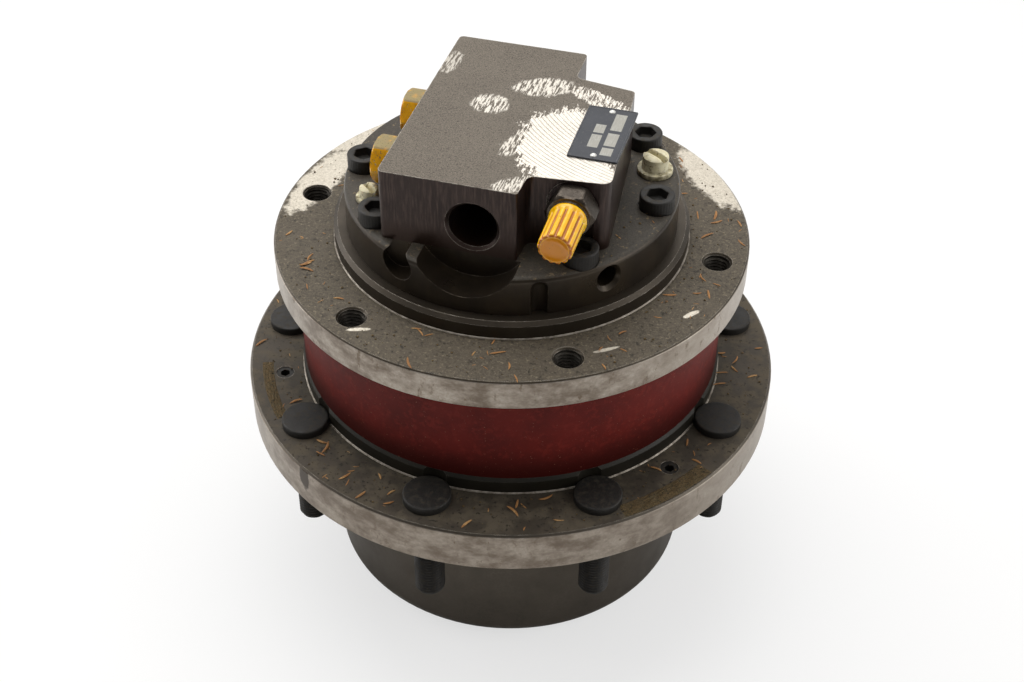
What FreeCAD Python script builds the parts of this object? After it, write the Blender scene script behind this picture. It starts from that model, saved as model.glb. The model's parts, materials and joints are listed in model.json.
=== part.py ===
import FreeCAD, Part
import math
import os
from FreeCAD import Vector

# Track final drive: a fixed motor housing on top, a turning hub with the sprocket flange
# below it, and two planetary stages inside the drum.
# Millimetres and degrees. +Z points from the end cover up to the port block, Z = 0 is the
# outer face of the end cover, and angles are counted from -Y towards +X.

# ---------------------------------------------------------------- driving dimensions
# Hub, turning
flange_radius = 145.0
flange_thickness = 24.4
flange_chamfer = 1.2
drum_wall = 6.6
drum_length = 102.0
drum_edge_radius = 7.0
pilot_step_radius = 115.0
pilot_step_height = 9.6
pilot_step_slope = 2.0
band_radius = 114.0
band_height = 54.0
cover_stand = 5.0
edge_break = 1.0

# Wheel studs and flange set screws
stud_count = 9
stud_edge_distance = 19.0
stud_first_angle = 36.3
stud_radius = 8.0
stud_shank_radius = 8.5
stud_reach = 42.0
stud_tip = 2.5
stud_head_radius = 12.4
stud_head_height = 4.5
stud_head_clearance = 0.5
set_screw_count = 3
set_screw_radius = 4.75
set_screw_length = 14.0
set_screw_sink = 0.4

# Housing, fixed
frame_gap = 2.4
frame_flange_radius = 124.8
frame_flange_thickness = 17.1
frame_hole_count = 6
frame_hole_edge_distance = 15.3
frame_hole_radius = 7.0
frame_hole_first_angle = 30.0
frame_face_width = 31.8
upper_pilot_height = 9.5
motor_cover_setback = 6.5
motor_cover_thickness = 22.0
motor_cover_edge_radius = 3.0

# Port block on the motor cover
block_height = 39.0
block_left = -47.6
block_step_x = 22.6
block_front = -68.7
block_back = 65.2
block_side_front = -52.7
block_side_back = 40.5
block_right_front = (62.0, -48.8)
block_right_back = (54.7, 35.7)
block_corner_radius = 2.5
block_notch_radius = 4.0
port_radius = 12.3
port_chamfer = 1.5
port_depth = 46.0
port_x = -0.5
port_below_top = 23.4
port_spotface_radius = 29.0
side_pocket_x = -36.0
side_pocket_drop = 46.0
side_pocket_radius = 8.5
side_plug_y = (-29.0, 17.0)
side_plug_below_top = 21.0
side_plug_radius = 8.0
side_plug_across_flats = 22.0
side_plug_length = 15.0
side_plug_thread = 10.0
pilot_x = 45.0
pilot_below_top = 13.6
pilot_bore_radius = 7.0
adapter_across_flats = 22.0
adapter_hex_length = 11.0
adapter_thread = 12.0
adapter_seat_radius = 13.2
adapter_seat_depth = 8.0
nipple_radius = 6.0
nipple_length = 18.0
cap_radius = 8.8
cap_rib_count = 14
cap_rib_depth = 0.9
cap_rib_foot = 0.55
cap_groove_start = 0.5
cap_groove_end = 1.2
cap_length = 25.5
cap_gap = 1.0
cap_edge_break = 1.2
hex_chamfer = 1.8
spool_y = -6.0
spool_bore_radius = 10.0
spool_length = 50.0
spool_travel = 6.0
spool_end_gap = 2.0
spool_plug_sink = 1.0
spool_neck_share = 0.6
speed_spool_travel = 5.0
spool_plug_length = 9.0

# Holes in the motor cover's wall
cross_port_angle = 48.7
cross_port_radius = 5.6
cross_port_below_top = 9.5
flute_angle = 24.5
flute_radius = 4.4
flute_height = 20.0

# Motor cover screws and drain plugs
cover_screw_angles = (41.0, 86.5, 130.0, -130.0, -81.5, -45.0)
cover_screw_edge_distance = 9.5
cover_screw_radius = 6.0
cover_screw_grip = 20.0
cover_screw_head_radius = 9.0
cover_screw_head_height = 8.5
cover_screw_socket = 10.0
socket_depth_share = 0.6
screw_clearance = 0.5
screw_seat_depth = 1.0
drain_plug_angle = 110.0
drain_plug_edge_distance = 12.5
drain_plug_radius = 6.5
drain_plug_flange_radius = 9.3
drain_plug_height = 11.0
bleed_plug_angle = -58.0
bleed_plug_edge_distance = 11.5
bleed_plug_radius = 4.6
bleed_plug_flange_radius = 6.8
bleed_plug_height = 8.0
plug_slot_width = 2.4
plug_slot_depth_share = 0.45
plug_rim_chamfer = 0.7
plug_rim_height = 2.6

# Nameplate
plate_x = (35.6, 60.9)
plate_y = (-31.6, 15.6)
plate_thickness = 1.0
rivet_inset = 3.4
rivet_radius = 1.6
rivet_height = 0.7
rivet_crown_share = 0.7

# Planetary gears: full-depth involute teeth
module = 2.75
pressure_angle = 25.0
addendum_factor = 1.0
dedendum_factor = 1.25
backlash = 0.24
ring_teeth = 60
first_sun_teeth = 12
first_planet_teeth = 24
first_planet_count = 3
second_sun_teeth = 16
second_planet_teeth = 22
second_planet_count = 4
first_gear_width = 18.0
second_gear_width = 27.0
ring_gear_wall = 4.0625
ring_gear_overhang = 1.5
ring_pin_count = 4
ring_pin_radius = 3.0
ring_pin_length = 20.0
first_pin_radius = 8.5
second_pin_radius = 11.0
pin_clearance = 0.04
stage_gap = 3.0
washer_thickness = 1.5
first_carrier_thickness = 11.0
first_carrier_radius = 66.0
fixed_carrier_thickness = 12.0
fixed_carrier_radius = 77.0
second_sun_stub_radius = 17.5
second_sun_bore = 12.5
carrier_screw_count = 8
carrier_screw_radius = 5.0
carrier_screw_length = 24.0
carrier_screw_head_radius = 7.5
carrier_screw_head_height = 6.0
carrier_screw_circle_radius = 44.0
carrier_screw_spread = 12.0
carrier_screw_socket_share = 1.4

# End cover
end_cover_setback = 8.0
end_cover_seat_step = 2.0
end_cover_thickness = 14.0
end_cover_rim = 5.0
snap_ring_height = 2.3
snap_ring_depth = 2.4
snap_ring_overlap = 5.0
snap_ring_gap_angle = 16.0
o_ring_section = 3.2
oil_plug_radius = 9.0
oil_plug_circle_radius = 60.0
oil_plug_angles = (0.0, 90.0)
oil_plug_sink = 0.8
oil_plug_length = 10.0
thrust_button_radius = 9.0
thrust_button_sink = 3.0
thrust_gap = 0.1

# Hub bearings, tapered rollers
bearing_inner_radius = 60.0
bearing_section_height = 22.5
bearing_width = 22.0
bearing_cup_inset = 2.0
bearing_rib_share = 0.12
roller_count = 20
roller_radius = 5.2
roller_length = 14.0
roller_tilt = 15.0
roller_clearance = 0.03
roller_end_clearance = 0.4
cage_thickness = 1.4
cage_clearance = 0.3
bearing_cup_shoulder = 5.0
bearing_cone_shoulder = 7.5

# Floating face seal between hub and housing
seal_neck_radius = 84.0
seal_bore_radius = 101.0
seal_ring_inner_radius = 88.0
seal_ring_outer_radius = 97.0
seal_ring_foot_radius = 92.5
seal_ring_height = 9.0
seal_ring_face = 2.6
seal_face_gap = 0.1
seal_elastomer_radius = 3.3
seal_depth = 13.0
seal_floor_gap = 10.0

# Motor and brake inside the housing
nose_bore_radius = 30.0
nose_bore_depth = 19.0
shaft_seal_radius = 22.0
shaft_seal_width = 7.0
shaft_bearing_outer_radius = 19.0
shaft_bearing_width = 16.0
shaft_journal_radius = 15.0
shaft_body_radius = 12.5
shaft_spline_radius = 14.0
shaft_tail_radius = 10.0
shaft_tail_bearing_radius = 13.0
shaft_tail_bearing_width = 12.0
shaft_tail_end_gap = 2.0
running_clearance = 0.05
coupling_radius = 18.0
coupling_length = 24.0
sun_shaft_radius = 11.0
shaft_end_gap = 1.0
chamber_radius = 44.0
chamber_depth = 87.0
brake_bore_radius = 51.0
brake_bore_depth = 40.0
valve_plate_radius = 38.0
valve_plate_thickness = 5.0
block_barrel_radius = 39.5
block_barrel_length = 38.0
barrel_gap = 0.1
piston_count = 9
piston_circle_radius = 26.0
piston_radius = 7.0
piston_end_gap = 3.0
piston_clearance = 0.03
piston_bore_end = 7.0
piston_neck_radius = 4.0
barrel_port_radius = 4.0
slipper_radius = 8.0
slipper_collar_radius = 6.0
slipper_height = 10.0
slipper_foot = 3.4
slipper_gap = 1.2
slipper_plate_thickness = 1.8
slipper_plate_radius = 36.5
swash_radius = 36.0
swash_thickness = 12.0
swash_back_offset = 2.0
swash_bore_radius = 19.0
swash_angle = 15.0
swash_pivot_height = 10.0
swash_pivot_x = 27.2
swash_ball_radius = 7.0
swash_post_radius = 8.0
swash_post_height = 6.0
speed_piston_radius = 5.0
speed_piston_y = -26.0
speed_piston_length = 14.0
speed_piston_gap = 0.3
speed_bore_depth = 17.0
friction_plate_count = 3
plate_stack_thickness = 2.0
plate_stack_gap = 0.1
friction_plate_outer_radius = 48.0
steel_plate_inner_radius = 42.0
brake_piston_inner_radius = 41.0
disc_spring_thickness = 1.5
disc_spring_height = 6.0

# ---------------------------------------------------------------- radii and levels that follow
ring_gear_radius = module * (ring_teeth / 2 + dedendum_factor) + ring_gear_wall
end_cover_seat_radius = ring_gear_radius + end_cover_seat_step
end_cover_radius = end_cover_seat_radius - end_cover_setback
snap_ring_inner_radius = end_cover_seat_radius - snap_ring_overlap
drum_radius = end_cover_seat_radius + snap_ring_depth + drum_wall
stud_circle_radius = flange_radius - stud_edge_distance
frame_hole_circle_radius = frame_flange_radius - frame_hole_edge_distance
upper_pilot_radius = frame_flange_radius - frame_face_width
motor_cover_radius = upper_pilot_radius - motor_cover_setback
cover_screw_circle_radius = motor_cover_radius - cover_screw_edge_distance
drain_plug_circle_radius = motor_cover_radius - drain_plug_edge_distance
bleed_plug_circle_radius = motor_cover_radius - bleed_plug_edge_distance
bearing_outer_radius = bearing_inner_radius + bearing_section_height
hub_shoulder_radius = bearing_outer_radius - bearing_cup_shoulder
housing_shoulder_radius = bearing_inner_radius + bearing_cone_shoulder

drum_rim_z = cover_stand
flange_low_z = drum_rim_z + drum_length
flange_top_z = flange_low_z + flange_thickness
step_top_z = flange_top_z + pilot_step_height
hub_top_z = step_top_z + band_height
frame_low_z = hub_top_z + frame_gap
frame_top_z = frame_low_z + frame_flange_thickness
pilot_top_z = frame_top_z + upper_pilot_height
motor_top_z = pilot_top_z + motor_cover_thickness
block_top_z = motor_top_z + block_height

first_stage_z = end_cover_thickness + stage_gap
first_carrier_z = first_stage_z + first_gear_width + washer_thickness
first_carrier_top_z = first_carrier_z + first_carrier_thickness
second_stage_z = first_carrier_top_z + stage_gap
second_stage_top_z = second_stage_z + second_gear_width
nose_z = second_stage_top_z + washer_thickness + fixed_carrier_thickness
fixed_carrier_z = nose_z - fixed_carrier_thickness
ring_gear_z = end_cover_thickness + ring_gear_overhang
ring_gear_top_z = second_stage_top_z + ring_gear_overhang

seal_face_z = hub_top_z - edge_break
seal_floor_z = hub_top_z - seal_depth
seal_roof_z = seal_face_z + seal_face_gap + seal_depth - edge_break
lower_bearing_z = nose_z
upper_bearing_z = seal_floor_z - seal_floor_gap - bearing_width

chamber_floor_z = pilot_top_z - chamber_depth
brake_floor_z = pilot_top_z - brake_bore_depth
seal_pocket_z = nose_z + nose_bore_depth
shaft_bearing_z = seal_pocket_z + shaft_seal_width
coupling_z = seal_pocket_z - coupling_length - running_clearance
shaft_joint_z = coupling_z + coupling_length / 2
valve_plate_z = pilot_top_z - valve_plate_thickness
barrel_top_z = valve_plate_z - barrel_gap
barrel_z = barrel_top_z - block_barrel_length
swash_pivot_z = chamber_floor_z + swash_pivot_height
swash_face_offset = swash_back_offset + swash_thickness
swash_high_z = (swash_pivot_z + swash_face_offset * math.cos(math.radians(swash_angle))
                + swash_radius * math.sin(math.radians(swash_angle)))
slipper_z = swash_high_z + slipper_gap

port_z = block_top_z - port_below_top
side_plug_z = block_top_z - side_plug_below_top
pilot_z = block_top_z - pilot_below_top

first_centre_radius = module * (first_sun_teeth + first_planet_teeth) / 2
second_centre_radius = module * (second_sun_teeth + second_planet_teeth) / 2

ORIGIN = Vector(0, 0, 0)
UP = Vector(0, 0, 1)


# ---------------------------------------------------------------- shape helpers
def outline(corners, to_point):
    """Closed wire through corners (a, b) or (a, b, radius); the radius rounds that corner."""
    flat = [Vector(corner[0], corner[1], 0) for corner in corners]
    stretches = []
    for index, corner in enumerate(corners):
        here = flat[index]
        if len(corner) == 2:
            stretches.append((here, None, here))
            continue
        back = (flat[index - 1] - here).normalize()
        ahead = (flat[(index + 1) % len(flat)] - here).normalize()
        half = back.getAngle(ahead) / 2
        reach = corner[2] / math.tan(half)
        centre = here + (back + ahead).normalize() * (corner[2] / math.sin(half))
        middle = centre + (here - centre).normalize() * corner[2]
        stretches.append((here + back * reach, middle, here + ahead * reach))
    edges = []
    for index, (start, middle, end) in enumerate(stretches):
        if middle is not None:
            edges.append(Part.Arc(to_point(start), to_point(middle), to_point(end)).toShape())
        following = stretches[(index + 1) % len(stretches)][0]
        if end.distanceToPoint(following) > 1e-6:
            edges.append(Part.makeLine(to_point(end), to_point(following)))
    return Part.Wire(edges)


def spun(corners, angle=360.0):
    """Solid made by turning an outline of (radius, height) corners about Z."""
    face = Part.Face(outline(corners, lambda p: Vector(p.x, 0, p.y)))
    return face.revolve(ORIGIN, UP, angle)


def prism(corners, low, high):
    """Upright solid on an outline of (x, y) corners."""
    face = Part.Face(outline(corners, lambda p: Vector(p.x, p.y, low)))
    return face.extrude(Vector(0, 0, high - low))


def rod(radius, low, high, x=0.0, y=0.0):
    return Part.makeCylinder(radius, high - low, Vector(x, y, low), UP)


def ring(inner, outer, low, high):
    return rod(outer, low, high).cut(rod(inner, low, high))


def bar(radius, start, direction, length):
    """Cylinder from a start point along a direction."""
    return Part.makeCylinder(radius, length, start, direction)


def cone(radius_low, radius_high, low, high, x=0.0, y=0.0):
    return Part.makeCone(radius_low, radius_high, high - low, Vector(x, y, low), UP)


def hexagon(across_flats, low, high):
    corner = across_flats / 2 / math.cos(math.radians(30))
    corners = [(corner * math.cos(math.radians(60 * i)), corner * math.sin(math.radians(60 * i)))
               for i in range(6)]
    return prism(corners, low, high)


def turned(shape, angle, about=ORIGIN, axis=UP):
    copy = shape.copy()
    copy.rotate(about, axis, angle)
    return copy


def moved(shape, x=0.0, y=0.0, z=0.0):
    copy = shape.copy()
    copy.translate(Vector(x, y, z))
    return copy


def spot(radius, angle):
    """Point on a circle, the angle counted from -Y towards +X."""
    return (radius * math.sin(math.radians(angle)), -radius * math.cos(math.radians(angle)))


def around(shape, angles, radius=0.0):
    """Copies of a shape made at the axis, moved out to a circle and turned to each angle."""
    return [turned(moved(shape, y=-radius), angle) for angle in angles]


def even_angles(count, first=0.0):
    return [first + 360.0 * i / count for i in range(count)]


def group(shapes):
    return Part.makeCompound(shapes)


def socket_screw(shank_radius, shank, head_radius, head, socket):
    """Cap screw about Z with its head's underside at height 0."""
    body = rod(shank_radius, -shank, 0).fuse(
        spun([(0, 0), (head_radius, 0), (head_radius, head - 1), (head_radius - 1, head), (0, head)]))
    return body.removeSplitter().cut(hexagon(socket, head * (1 - socket_depth_share), head))


# ---------------------------------------------------------------- gear teeth
def involute(angle):
    return math.tan(angle) - angle


def half_angle(teeth, radius, half_width):
    """Half the angle that an involute tooth spans at a radius, from its half width at pitch."""
    pitch = module * teeth / 2
    base = pitch * math.cos(math.radians(pressure_angle))
    here = math.acos(min(1.0, base / radius))
    return half_width / pitch + involute(math.radians(pressure_angle)) - involute(here)


def tooth_wire(teeth, radii, half_width, phase, height):
    """Closed outline of straight chords on the involute flanks, one lobe per tooth."""
    points = []
    for tooth in range(teeth):
        middle = math.radians(phase) + 2 * math.pi * tooth / teeth
        flank = [(radius, half_angle(teeth, radius, half_width)) for radius in radii]
        for radius, span in flank:
            points.append((radius, middle - span))
        for radius, span in reversed(flank):
            points.append((radius, middle + span))
    corners = [Vector(r * math.cos(a), r * math.sin(a), height) for r, a in points]
    return Part.makePolygon(corners + corners[:1])


def outer_gear(teeth, phase, low, high, bore):
    """Spur gear about Z; phase is the direction of one tooth, in degrees from +X."""
    pitch = module * teeth / 2
    tip = pitch + addendum_factor * module
    root = pitch - dedendum_factor * module
    base = pitch * math.cos(math.radians(pressure_angle))
    radii = [root, max(root, base) if base > root else pitch, tip]
    if base > root:
        radii = [root, base, (base + tip) / 2, tip]
    half_width = math.pi * module / 4 - backlash / 4
    face = Part.Face(tooth_wire(teeth, radii, half_width, phase, low))
    return face.extrude(Vector(0, 0, high - low)).cut(rod(bore, low, high))


def ring_gear_teeth(teeth, phase, low, high):
    """Solid of the ring gear's open inside; phase is the direction of one tooth."""
    pitch = module * teeth / 2
    tip = pitch - addendum_factor * module
    root = pitch + dedendum_factor * module
    half_width = math.pi * module / 4 + backlash / 4
    space_phase = phase + 180.0 / teeth
    wire = tooth_wire(teeth, [tip, pitch, root], half_width, space_phase, low)
    return Part.Face(wire).extrude(Vector(0, 0, high - low))


def planet_phase(direction, teeth):
    """Tooth direction that puts a planet in mesh with the ring gear, whose tooth lies on +X."""
    ring_offset = direction * ring_teeth / 360.0
    return direction - 360.0 * (ring_offset + 0.5) / teeth


def sun_phase(direction, planet_teeth, teeth):
    """Tooth direction that puts a sun in mesh with its planets."""
    ring_offset = direction * ring_teeth / 360.0
    return direction + 360.0 * (ring_offset + planet_teeth / 2.0) / teeth


# ---------------------------------------------------------------- hub and what rides on it
def stud_angles():
    return even_angles(stud_count, stud_first_angle)


def set_screw_angles():
    return even_angles(set_screw_count, stud_first_angle + 180.0 / stud_count)


def snap_ring_z():
    return end_cover_seat_z() - snap_ring_height


def end_cover_seat_z():
    """Underside of the end cover's rim, where the snap ring holds it."""
    return end_cover_thickness - end_cover_rim


def make_hub():
    body = spun([
        (end_cover_seat_radius, drum_rim_z),
        (drum_radius, drum_rim_z, drum_edge_radius),
        (drum_radius, flange_low_z),
        (flange_radius - flange_chamfer, flange_low_z),
        (flange_radius, flange_low_z + flange_chamfer),
        (flange_radius, flange_top_z - flange_chamfer),
        (flange_radius - flange_chamfer, flange_top_z),
        (pilot_step_radius, flange_top_z),
        (pilot_step_radius, step_top_z - pilot_step_slope),
        (band_radius, step_top_z),
        (band_radius, hub_top_z - edge_break),
        (band_radius - edge_break, hub_top_z),
        (seal_bore_radius, hub_top_z),
        (seal_bore_radius, seal_floor_z),
        (bearing_outer_radius + edge_break, seal_floor_z),
        (bearing_outer_radius + edge_break, upper_bearing_z + bearing_width),
        (bearing_outer_radius, upper_bearing_z + bearing_width - edge_break),
        (bearing_outer_radius, upper_bearing_z + bearing_cup_inset),
        (hub_shoulder_radius, upper_bearing_z + bearing_cup_inset),
        (hub_shoulder_radius, lower_bearing_z + bearing_width - bearing_cup_inset),
        (bearing_outer_radius, lower_bearing_z + bearing_width - bearing_cup_inset),
        (bearing_outer_radius, ring_gear_top_z),
        (ring_gear_radius, ring_gear_top_z),
        (ring_gear_radius, end_cover_thickness),
        (end_cover_seat_radius, end_cover_thickness),
    ])
    groove = ring(end_cover_seat_radius - edge_break, end_cover_seat_radius + snap_ring_depth,
                  snap_ring_z(), end_cover_seat_z())
    stud_hole = rod(stud_shank_radius, flange_low_z, flange_top_z).fuse(
        rod(stud_head_radius + stud_head_clearance, flange_top_z, step_top_z))
    studs = around(stud_hole, stud_angles(), stud_circle_radius)
    pockets = around(rod(set_screw_radius, flange_top_z - set_screw_length - set_screw_sink, flange_top_z),
                     set_screw_angles(), stud_circle_radius)
    return body.cut([groove] + studs + pockets + ring_pin_shapes())


def make_ring_gear():
    blank = rod(ring_gear_radius, ring_gear_z, ring_gear_top_z)
    teeth = ring_gear_teeth(ring_teeth, 0.0, ring_gear_z, ring_gear_top_z)
    return blank.cut([teeth] + ring_pin_shapes())


def ring_pin_shapes():
    pin = rod(ring_pin_radius, ring_gear_z, ring_gear_z + ring_pin_length)
    return around(pin, even_angles(ring_pin_count, 45.0), ring_gear_radius)


def make_end_cover():
    seat = end_cover_seat_z()
    body = spun([
        (0, 0),
        (end_cover_radius - edge_break, 0),
        (end_cover_radius, edge_break),
        (end_cover_radius, seat),
        (end_cover_seat_radius - running_clearance, seat),
        (end_cover_seat_radius - running_clearance, end_cover_thickness),
        (0, end_cover_thickness),
    ])
    groove_low = seat + (end_cover_rim - o_ring_section) / 2
    groove = ring(end_cover_seat_radius - o_ring_section, end_cover_seat_radius,
                  groove_low, groove_low + o_ring_section)
    plugs = around(rod(oil_plug_radius, 0, end_cover_thickness), oil_plug_angles, oil_plug_circle_radius)
    button = rod(thrust_button_radius, end_cover_thickness - thrust_button_sink, end_cover_thickness)
    return body.cut([groove, button] + plugs)


def make_cover_o_ring():
    section = o_ring_section / 2 - running_clearance
    height = end_cover_seat_z() + end_cover_rim / 2
    return Part.makeTorus(end_cover_seat_radius - o_ring_section / 2, section, Vector(0, 0, height), UP)


def make_snap_ring():
    low = snap_ring_z()
    section = [(snap_ring_inner_radius, low), (end_cover_seat_radius + snap_ring_depth, low),
               (end_cover_seat_radius + snap_ring_depth, low + snap_ring_height),
               (snap_ring_inner_radius, low + snap_ring_height)]
    return spun(section, 360.0 - snap_ring_gap_angle)


def make_oil_plugs():
    plug = rod(oil_plug_radius, oil_plug_sink, oil_plug_sink + oil_plug_length)
    plug = plug.cut(hexagon(oil_plug_radius, oil_plug_sink, oil_plug_sink + oil_plug_length / 2))
    return group(around(plug, oil_plug_angles, oil_plug_circle_radius))


def make_thrust_button():
    low = end_cover_thickness - thrust_button_sink
    return rod(thrust_button_radius, low, first_stage_z - washer_thickness)


def make_wheel_studs():
    head_top = flange_top_z + stud_head_height
    tail = flange_low_z - stud_reach
    stud = spun([
        (0, tail), (stud_radius - stud_tip, tail), (stud_radius, tail + stud_tip),
        (stud_radius, flange_low_z), (stud_shank_radius, flange_low_z),
        (stud_shank_radius, flange_top_z), (stud_head_radius, flange_top_z),
        (stud_head_radius, head_top - edge_break), (stud_head_radius - edge_break, head_top),
        (0, head_top)])
    return group(around(stud, stud_angles(), stud_circle_radius))


def make_flange_set_screws():
    top = flange_top_z - set_screw_sink
    screw = rod(set_screw_radius, top - set_screw_length, top)
    screw = screw.cut(hexagon(set_screw_radius, top - set_screw_length / 3, top))
    return group(around(screw, set_screw_angles(), stud_circle_radius))


# ---------------------------------------------------------------- tapered roller bearings
def bearing_geometry():
    """Apex height below the bearing's foot, and the roller's own half cone angle."""
    middle = (bearing_inner_radius + bearing_outer_radius) / 2
    tilt = math.radians(roller_tilt)
    to_apex = middle / math.sin(tilt)
    half_cone = math.atan(roller_radius / to_apex)
    apex_z = bearing_width / 2 - to_apex * math.cos(tilt)
    return tilt, to_apex, half_cone, apex_z


def race_radius(height, side):
    """Raceway radius at a height; side -1 is the cone's raceway, +1 the cup's."""
    tilt, to_apex, half_cone, apex_z = bearing_geometry()
    return (height - apex_z) * math.tan(tilt + side * half_cone) + side * roller_clearance


def make_bearing_cone():
    rib_low = bearing_width * bearing_rib_share
    rib_high = bearing_width - rib_low
    return spun([
        (bearing_inner_radius, 0),
        (race_radius(rib_low, -1) + edge_break, 0),
        (race_radius(rib_low, -1) + edge_break, rib_low),
        (race_radius(rib_low, -1), rib_low),
        (race_radius(rib_high, -1), rib_high),
        (race_radius(rib_high, -1) + 2 * edge_break, rib_high),
        (race_radius(rib_high, -1) + 2 * edge_break, bearing_width),
        (bearing_inner_radius, bearing_width),
    ])


def make_bearing_cup():
    low = bearing_cup_inset
    high = bearing_width - bearing_cup_inset
    return spun([
        (race_radius(low, 1), low), (bearing_outer_radius, low),
        (bearing_outer_radius, high), (race_radius(high, 1), high)])


def roller_shape(growth, end_growth):
    """One tapered roller at -Y, leaning out towards its large end."""
    tilt, to_apex, half_cone, apex_z = bearing_geometry()
    start = to_apex - roller_length / 2 - end_growth
    end = to_apex + roller_length / 2 + end_growth
    taper = math.tan(half_cone)
    direction = Vector(0, -math.sin(tilt), math.cos(tilt))
    foot = Vector(0, 0, apex_z) + direction * start
    return Part.makeCone(start * taper + growth, end * taper + growth, end - start, foot, direction)


def make_bearing_rollers():
    """The rollers and the sheet cage that spaces them."""
    tilt, to_apex, half_cone, apex_z = bearing_geometry()
    half = cage_thickness / 2
    reach = roller_length / 2 + 2 * roller_end_clearance + edge_break
    corners = []
    for along, across in ((-reach, -half), (-reach, half), (reach, half), (reach, -half)):
        distance = to_apex + along
        corners.append((distance * math.sin(tilt) + across * math.cos(tilt),
                        apex_z + distance * math.cos(tilt) - across * math.sin(tilt)))
    angles = even_angles(roller_count)
    cage = spun(corners).cut(around(roller_shape(cage_clearance, roller_end_clearance), angles))
    return group([cage] + around(roller_shape(0.0, 0.0), angles))


def upper_bearing(shape):
    return moved(shape, z=upper_bearing_z)


def lower_bearing(shape):
    """The lower bearing stands the other way round, large end down."""
    flipped = turned(shape, 180.0, Vector(0, 0, bearing_width / 2), Vector(1, 0, 0))
    return moved(flipped, z=lower_bearing_z)


# ---------------------------------------------------------------- floating face seal
def seal_half(upward):
    """Metal ring with its sloping back; upward says which way it faces."""
    sign = 1 if upward else -1
    face = seal_face_z if upward else seal_face_z + seal_face_gap
    corners = [
        (seal_ring_inner_radius, face), (seal_ring_outer_radius, face),
        (seal_ring_outer_radius, face - sign * seal_ring_face),
        (seal_ring_foot_radius, face - sign * seal_ring_height),
        (seal_ring_inner_radius, face - sign * seal_ring_height)]
    return spun(corners)


def seal_elastomer(upward):
    """Rubber ring squeezed between the metal ring's slope and its housing bore."""
    sign = 1 if upward else -1
    face = seal_face_z if upward else seal_face_z + seal_face_gap
    radius = seal_bore_radius - seal_elastomer_radius - running_clearance
    slope = math.atan2(seal_ring_outer_radius - seal_ring_foot_radius, seal_ring_height - seal_ring_face)
    # centre lies one section radius out from the sloping back, measured square to it
    distance = seal_elastomer_radius + running_clearance
    along = (seal_ring_outer_radius + distance / math.cos(slope) - radius) / math.tan(slope)
    height = face - sign * (seal_ring_face + along)
    return Part.makeTorus(radius, seal_elastomer_radius, Vector(0, 0, height), UP)


# ---------------------------------------------------------------- planetary stages
def first_planet_directions():
    return [90.0 + 360.0 * i / first_planet_count for i in range(first_planet_count)]


def second_planet_directions():
    return [360.0 * i / second_planet_count for i in range(second_planet_count)]


def at_direction(shape, direction, radius):
    angle = math.radians(direction)
    return moved(shape, x=radius * math.cos(angle), y=radius * math.sin(angle))


def make_planet(teeth, direction, radius, low, width, pin_radius):
    gear = outer_gear(teeth, planet_phase(direction, teeth), low, low + width, pin_radius + pin_clearance)
    return at_direction(gear, direction, radius)


def make_first_carrier():
    plate = spun([
        (second_sun_stub_radius, first_carrier_z), (first_carrier_radius - edge_break, first_carrier_z),
        (first_carrier_radius, first_carrier_z + edge_break),
        (first_carrier_radius, first_carrier_top_z - edge_break),
        (first_carrier_radius - edge_break, first_carrier_top_z),
        (second_sun_stub_radius, first_carrier_top_z)])
    hole = rod(first_pin_radius, first_carrier_z, first_carrier_top_z)
    holes = [at_direction(hole, d, first_centre_radius) for d in first_planet_directions()]
    return plate.cut(holes)


def make_first_stage_pins():
    low = first_stage_z - washer_thickness
    pin = rod(first_pin_radius, low, first_carrier_top_z)
    return group([at_direction(pin, d, first_centre_radius) for d in first_planet_directions()])


def make_second_sun():
    direction = second_planet_directions()[0]
    phase = sun_phase(direction, second_planet_teeth, second_sun_teeth)
    gear = outer_gear(second_sun_teeth, phase, second_stage_z, second_stage_top_z, second_sun_bore)
    stub = ring(second_sun_bore, second_sun_stub_radius, first_carrier_z, second_stage_z)
    return gear.fuse(stub)


def make_sun_shaft():
    direction = first_planet_directions()[0]
    phase = sun_phase(direction, first_planet_teeth, first_sun_teeth)
    low = first_stage_z - washer_thickness + thrust_gap
    root = module * first_sun_teeth / 2 - dedendum_factor * module
    pitch = module * first_sun_teeth / 2
    gear = outer_gear(first_sun_teeth, phase, first_stage_z, first_stage_z + first_gear_width, root / 3)
    core = rod(root / 2, low, first_stage_z + first_gear_width)
    shaft = spun([
        (0, first_stage_z + first_gear_width),
        (min(sun_shaft_radius, pitch), first_stage_z + first_gear_width),
        (sun_shaft_radius, shaft_joint_z - shaft_end_gap / 2 - edge_break),
        (sun_shaft_radius - edge_break, shaft_joint_z - shaft_end_gap / 2),
        (0, shaft_joint_z - shaft_end_gap / 2)])
    return gear.fuse([core, shaft])


def carrier_screw_places():
    angles = []
    for middle in even_angles(carrier_screw_count // 2, 45.0):
        angles += [middle - carrier_screw_spread, middle + carrier_screw_spread]
    return angles


def carrier_screw_shape():
    """Low-head screw, head down in the fixed carrier's counterbore."""
    screw = socket_screw(carrier_screw_radius, carrier_screw_length, carrier_screw_head_radius,
                         carrier_screw_head_height, carrier_screw_radius * carrier_screw_socket_share)
    head_down = turned(screw, 180.0, ORIGIN, Vector(1, 0, 0))
    return moved(head_down, z=fixed_carrier_z + carrier_screw_head_height)


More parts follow.
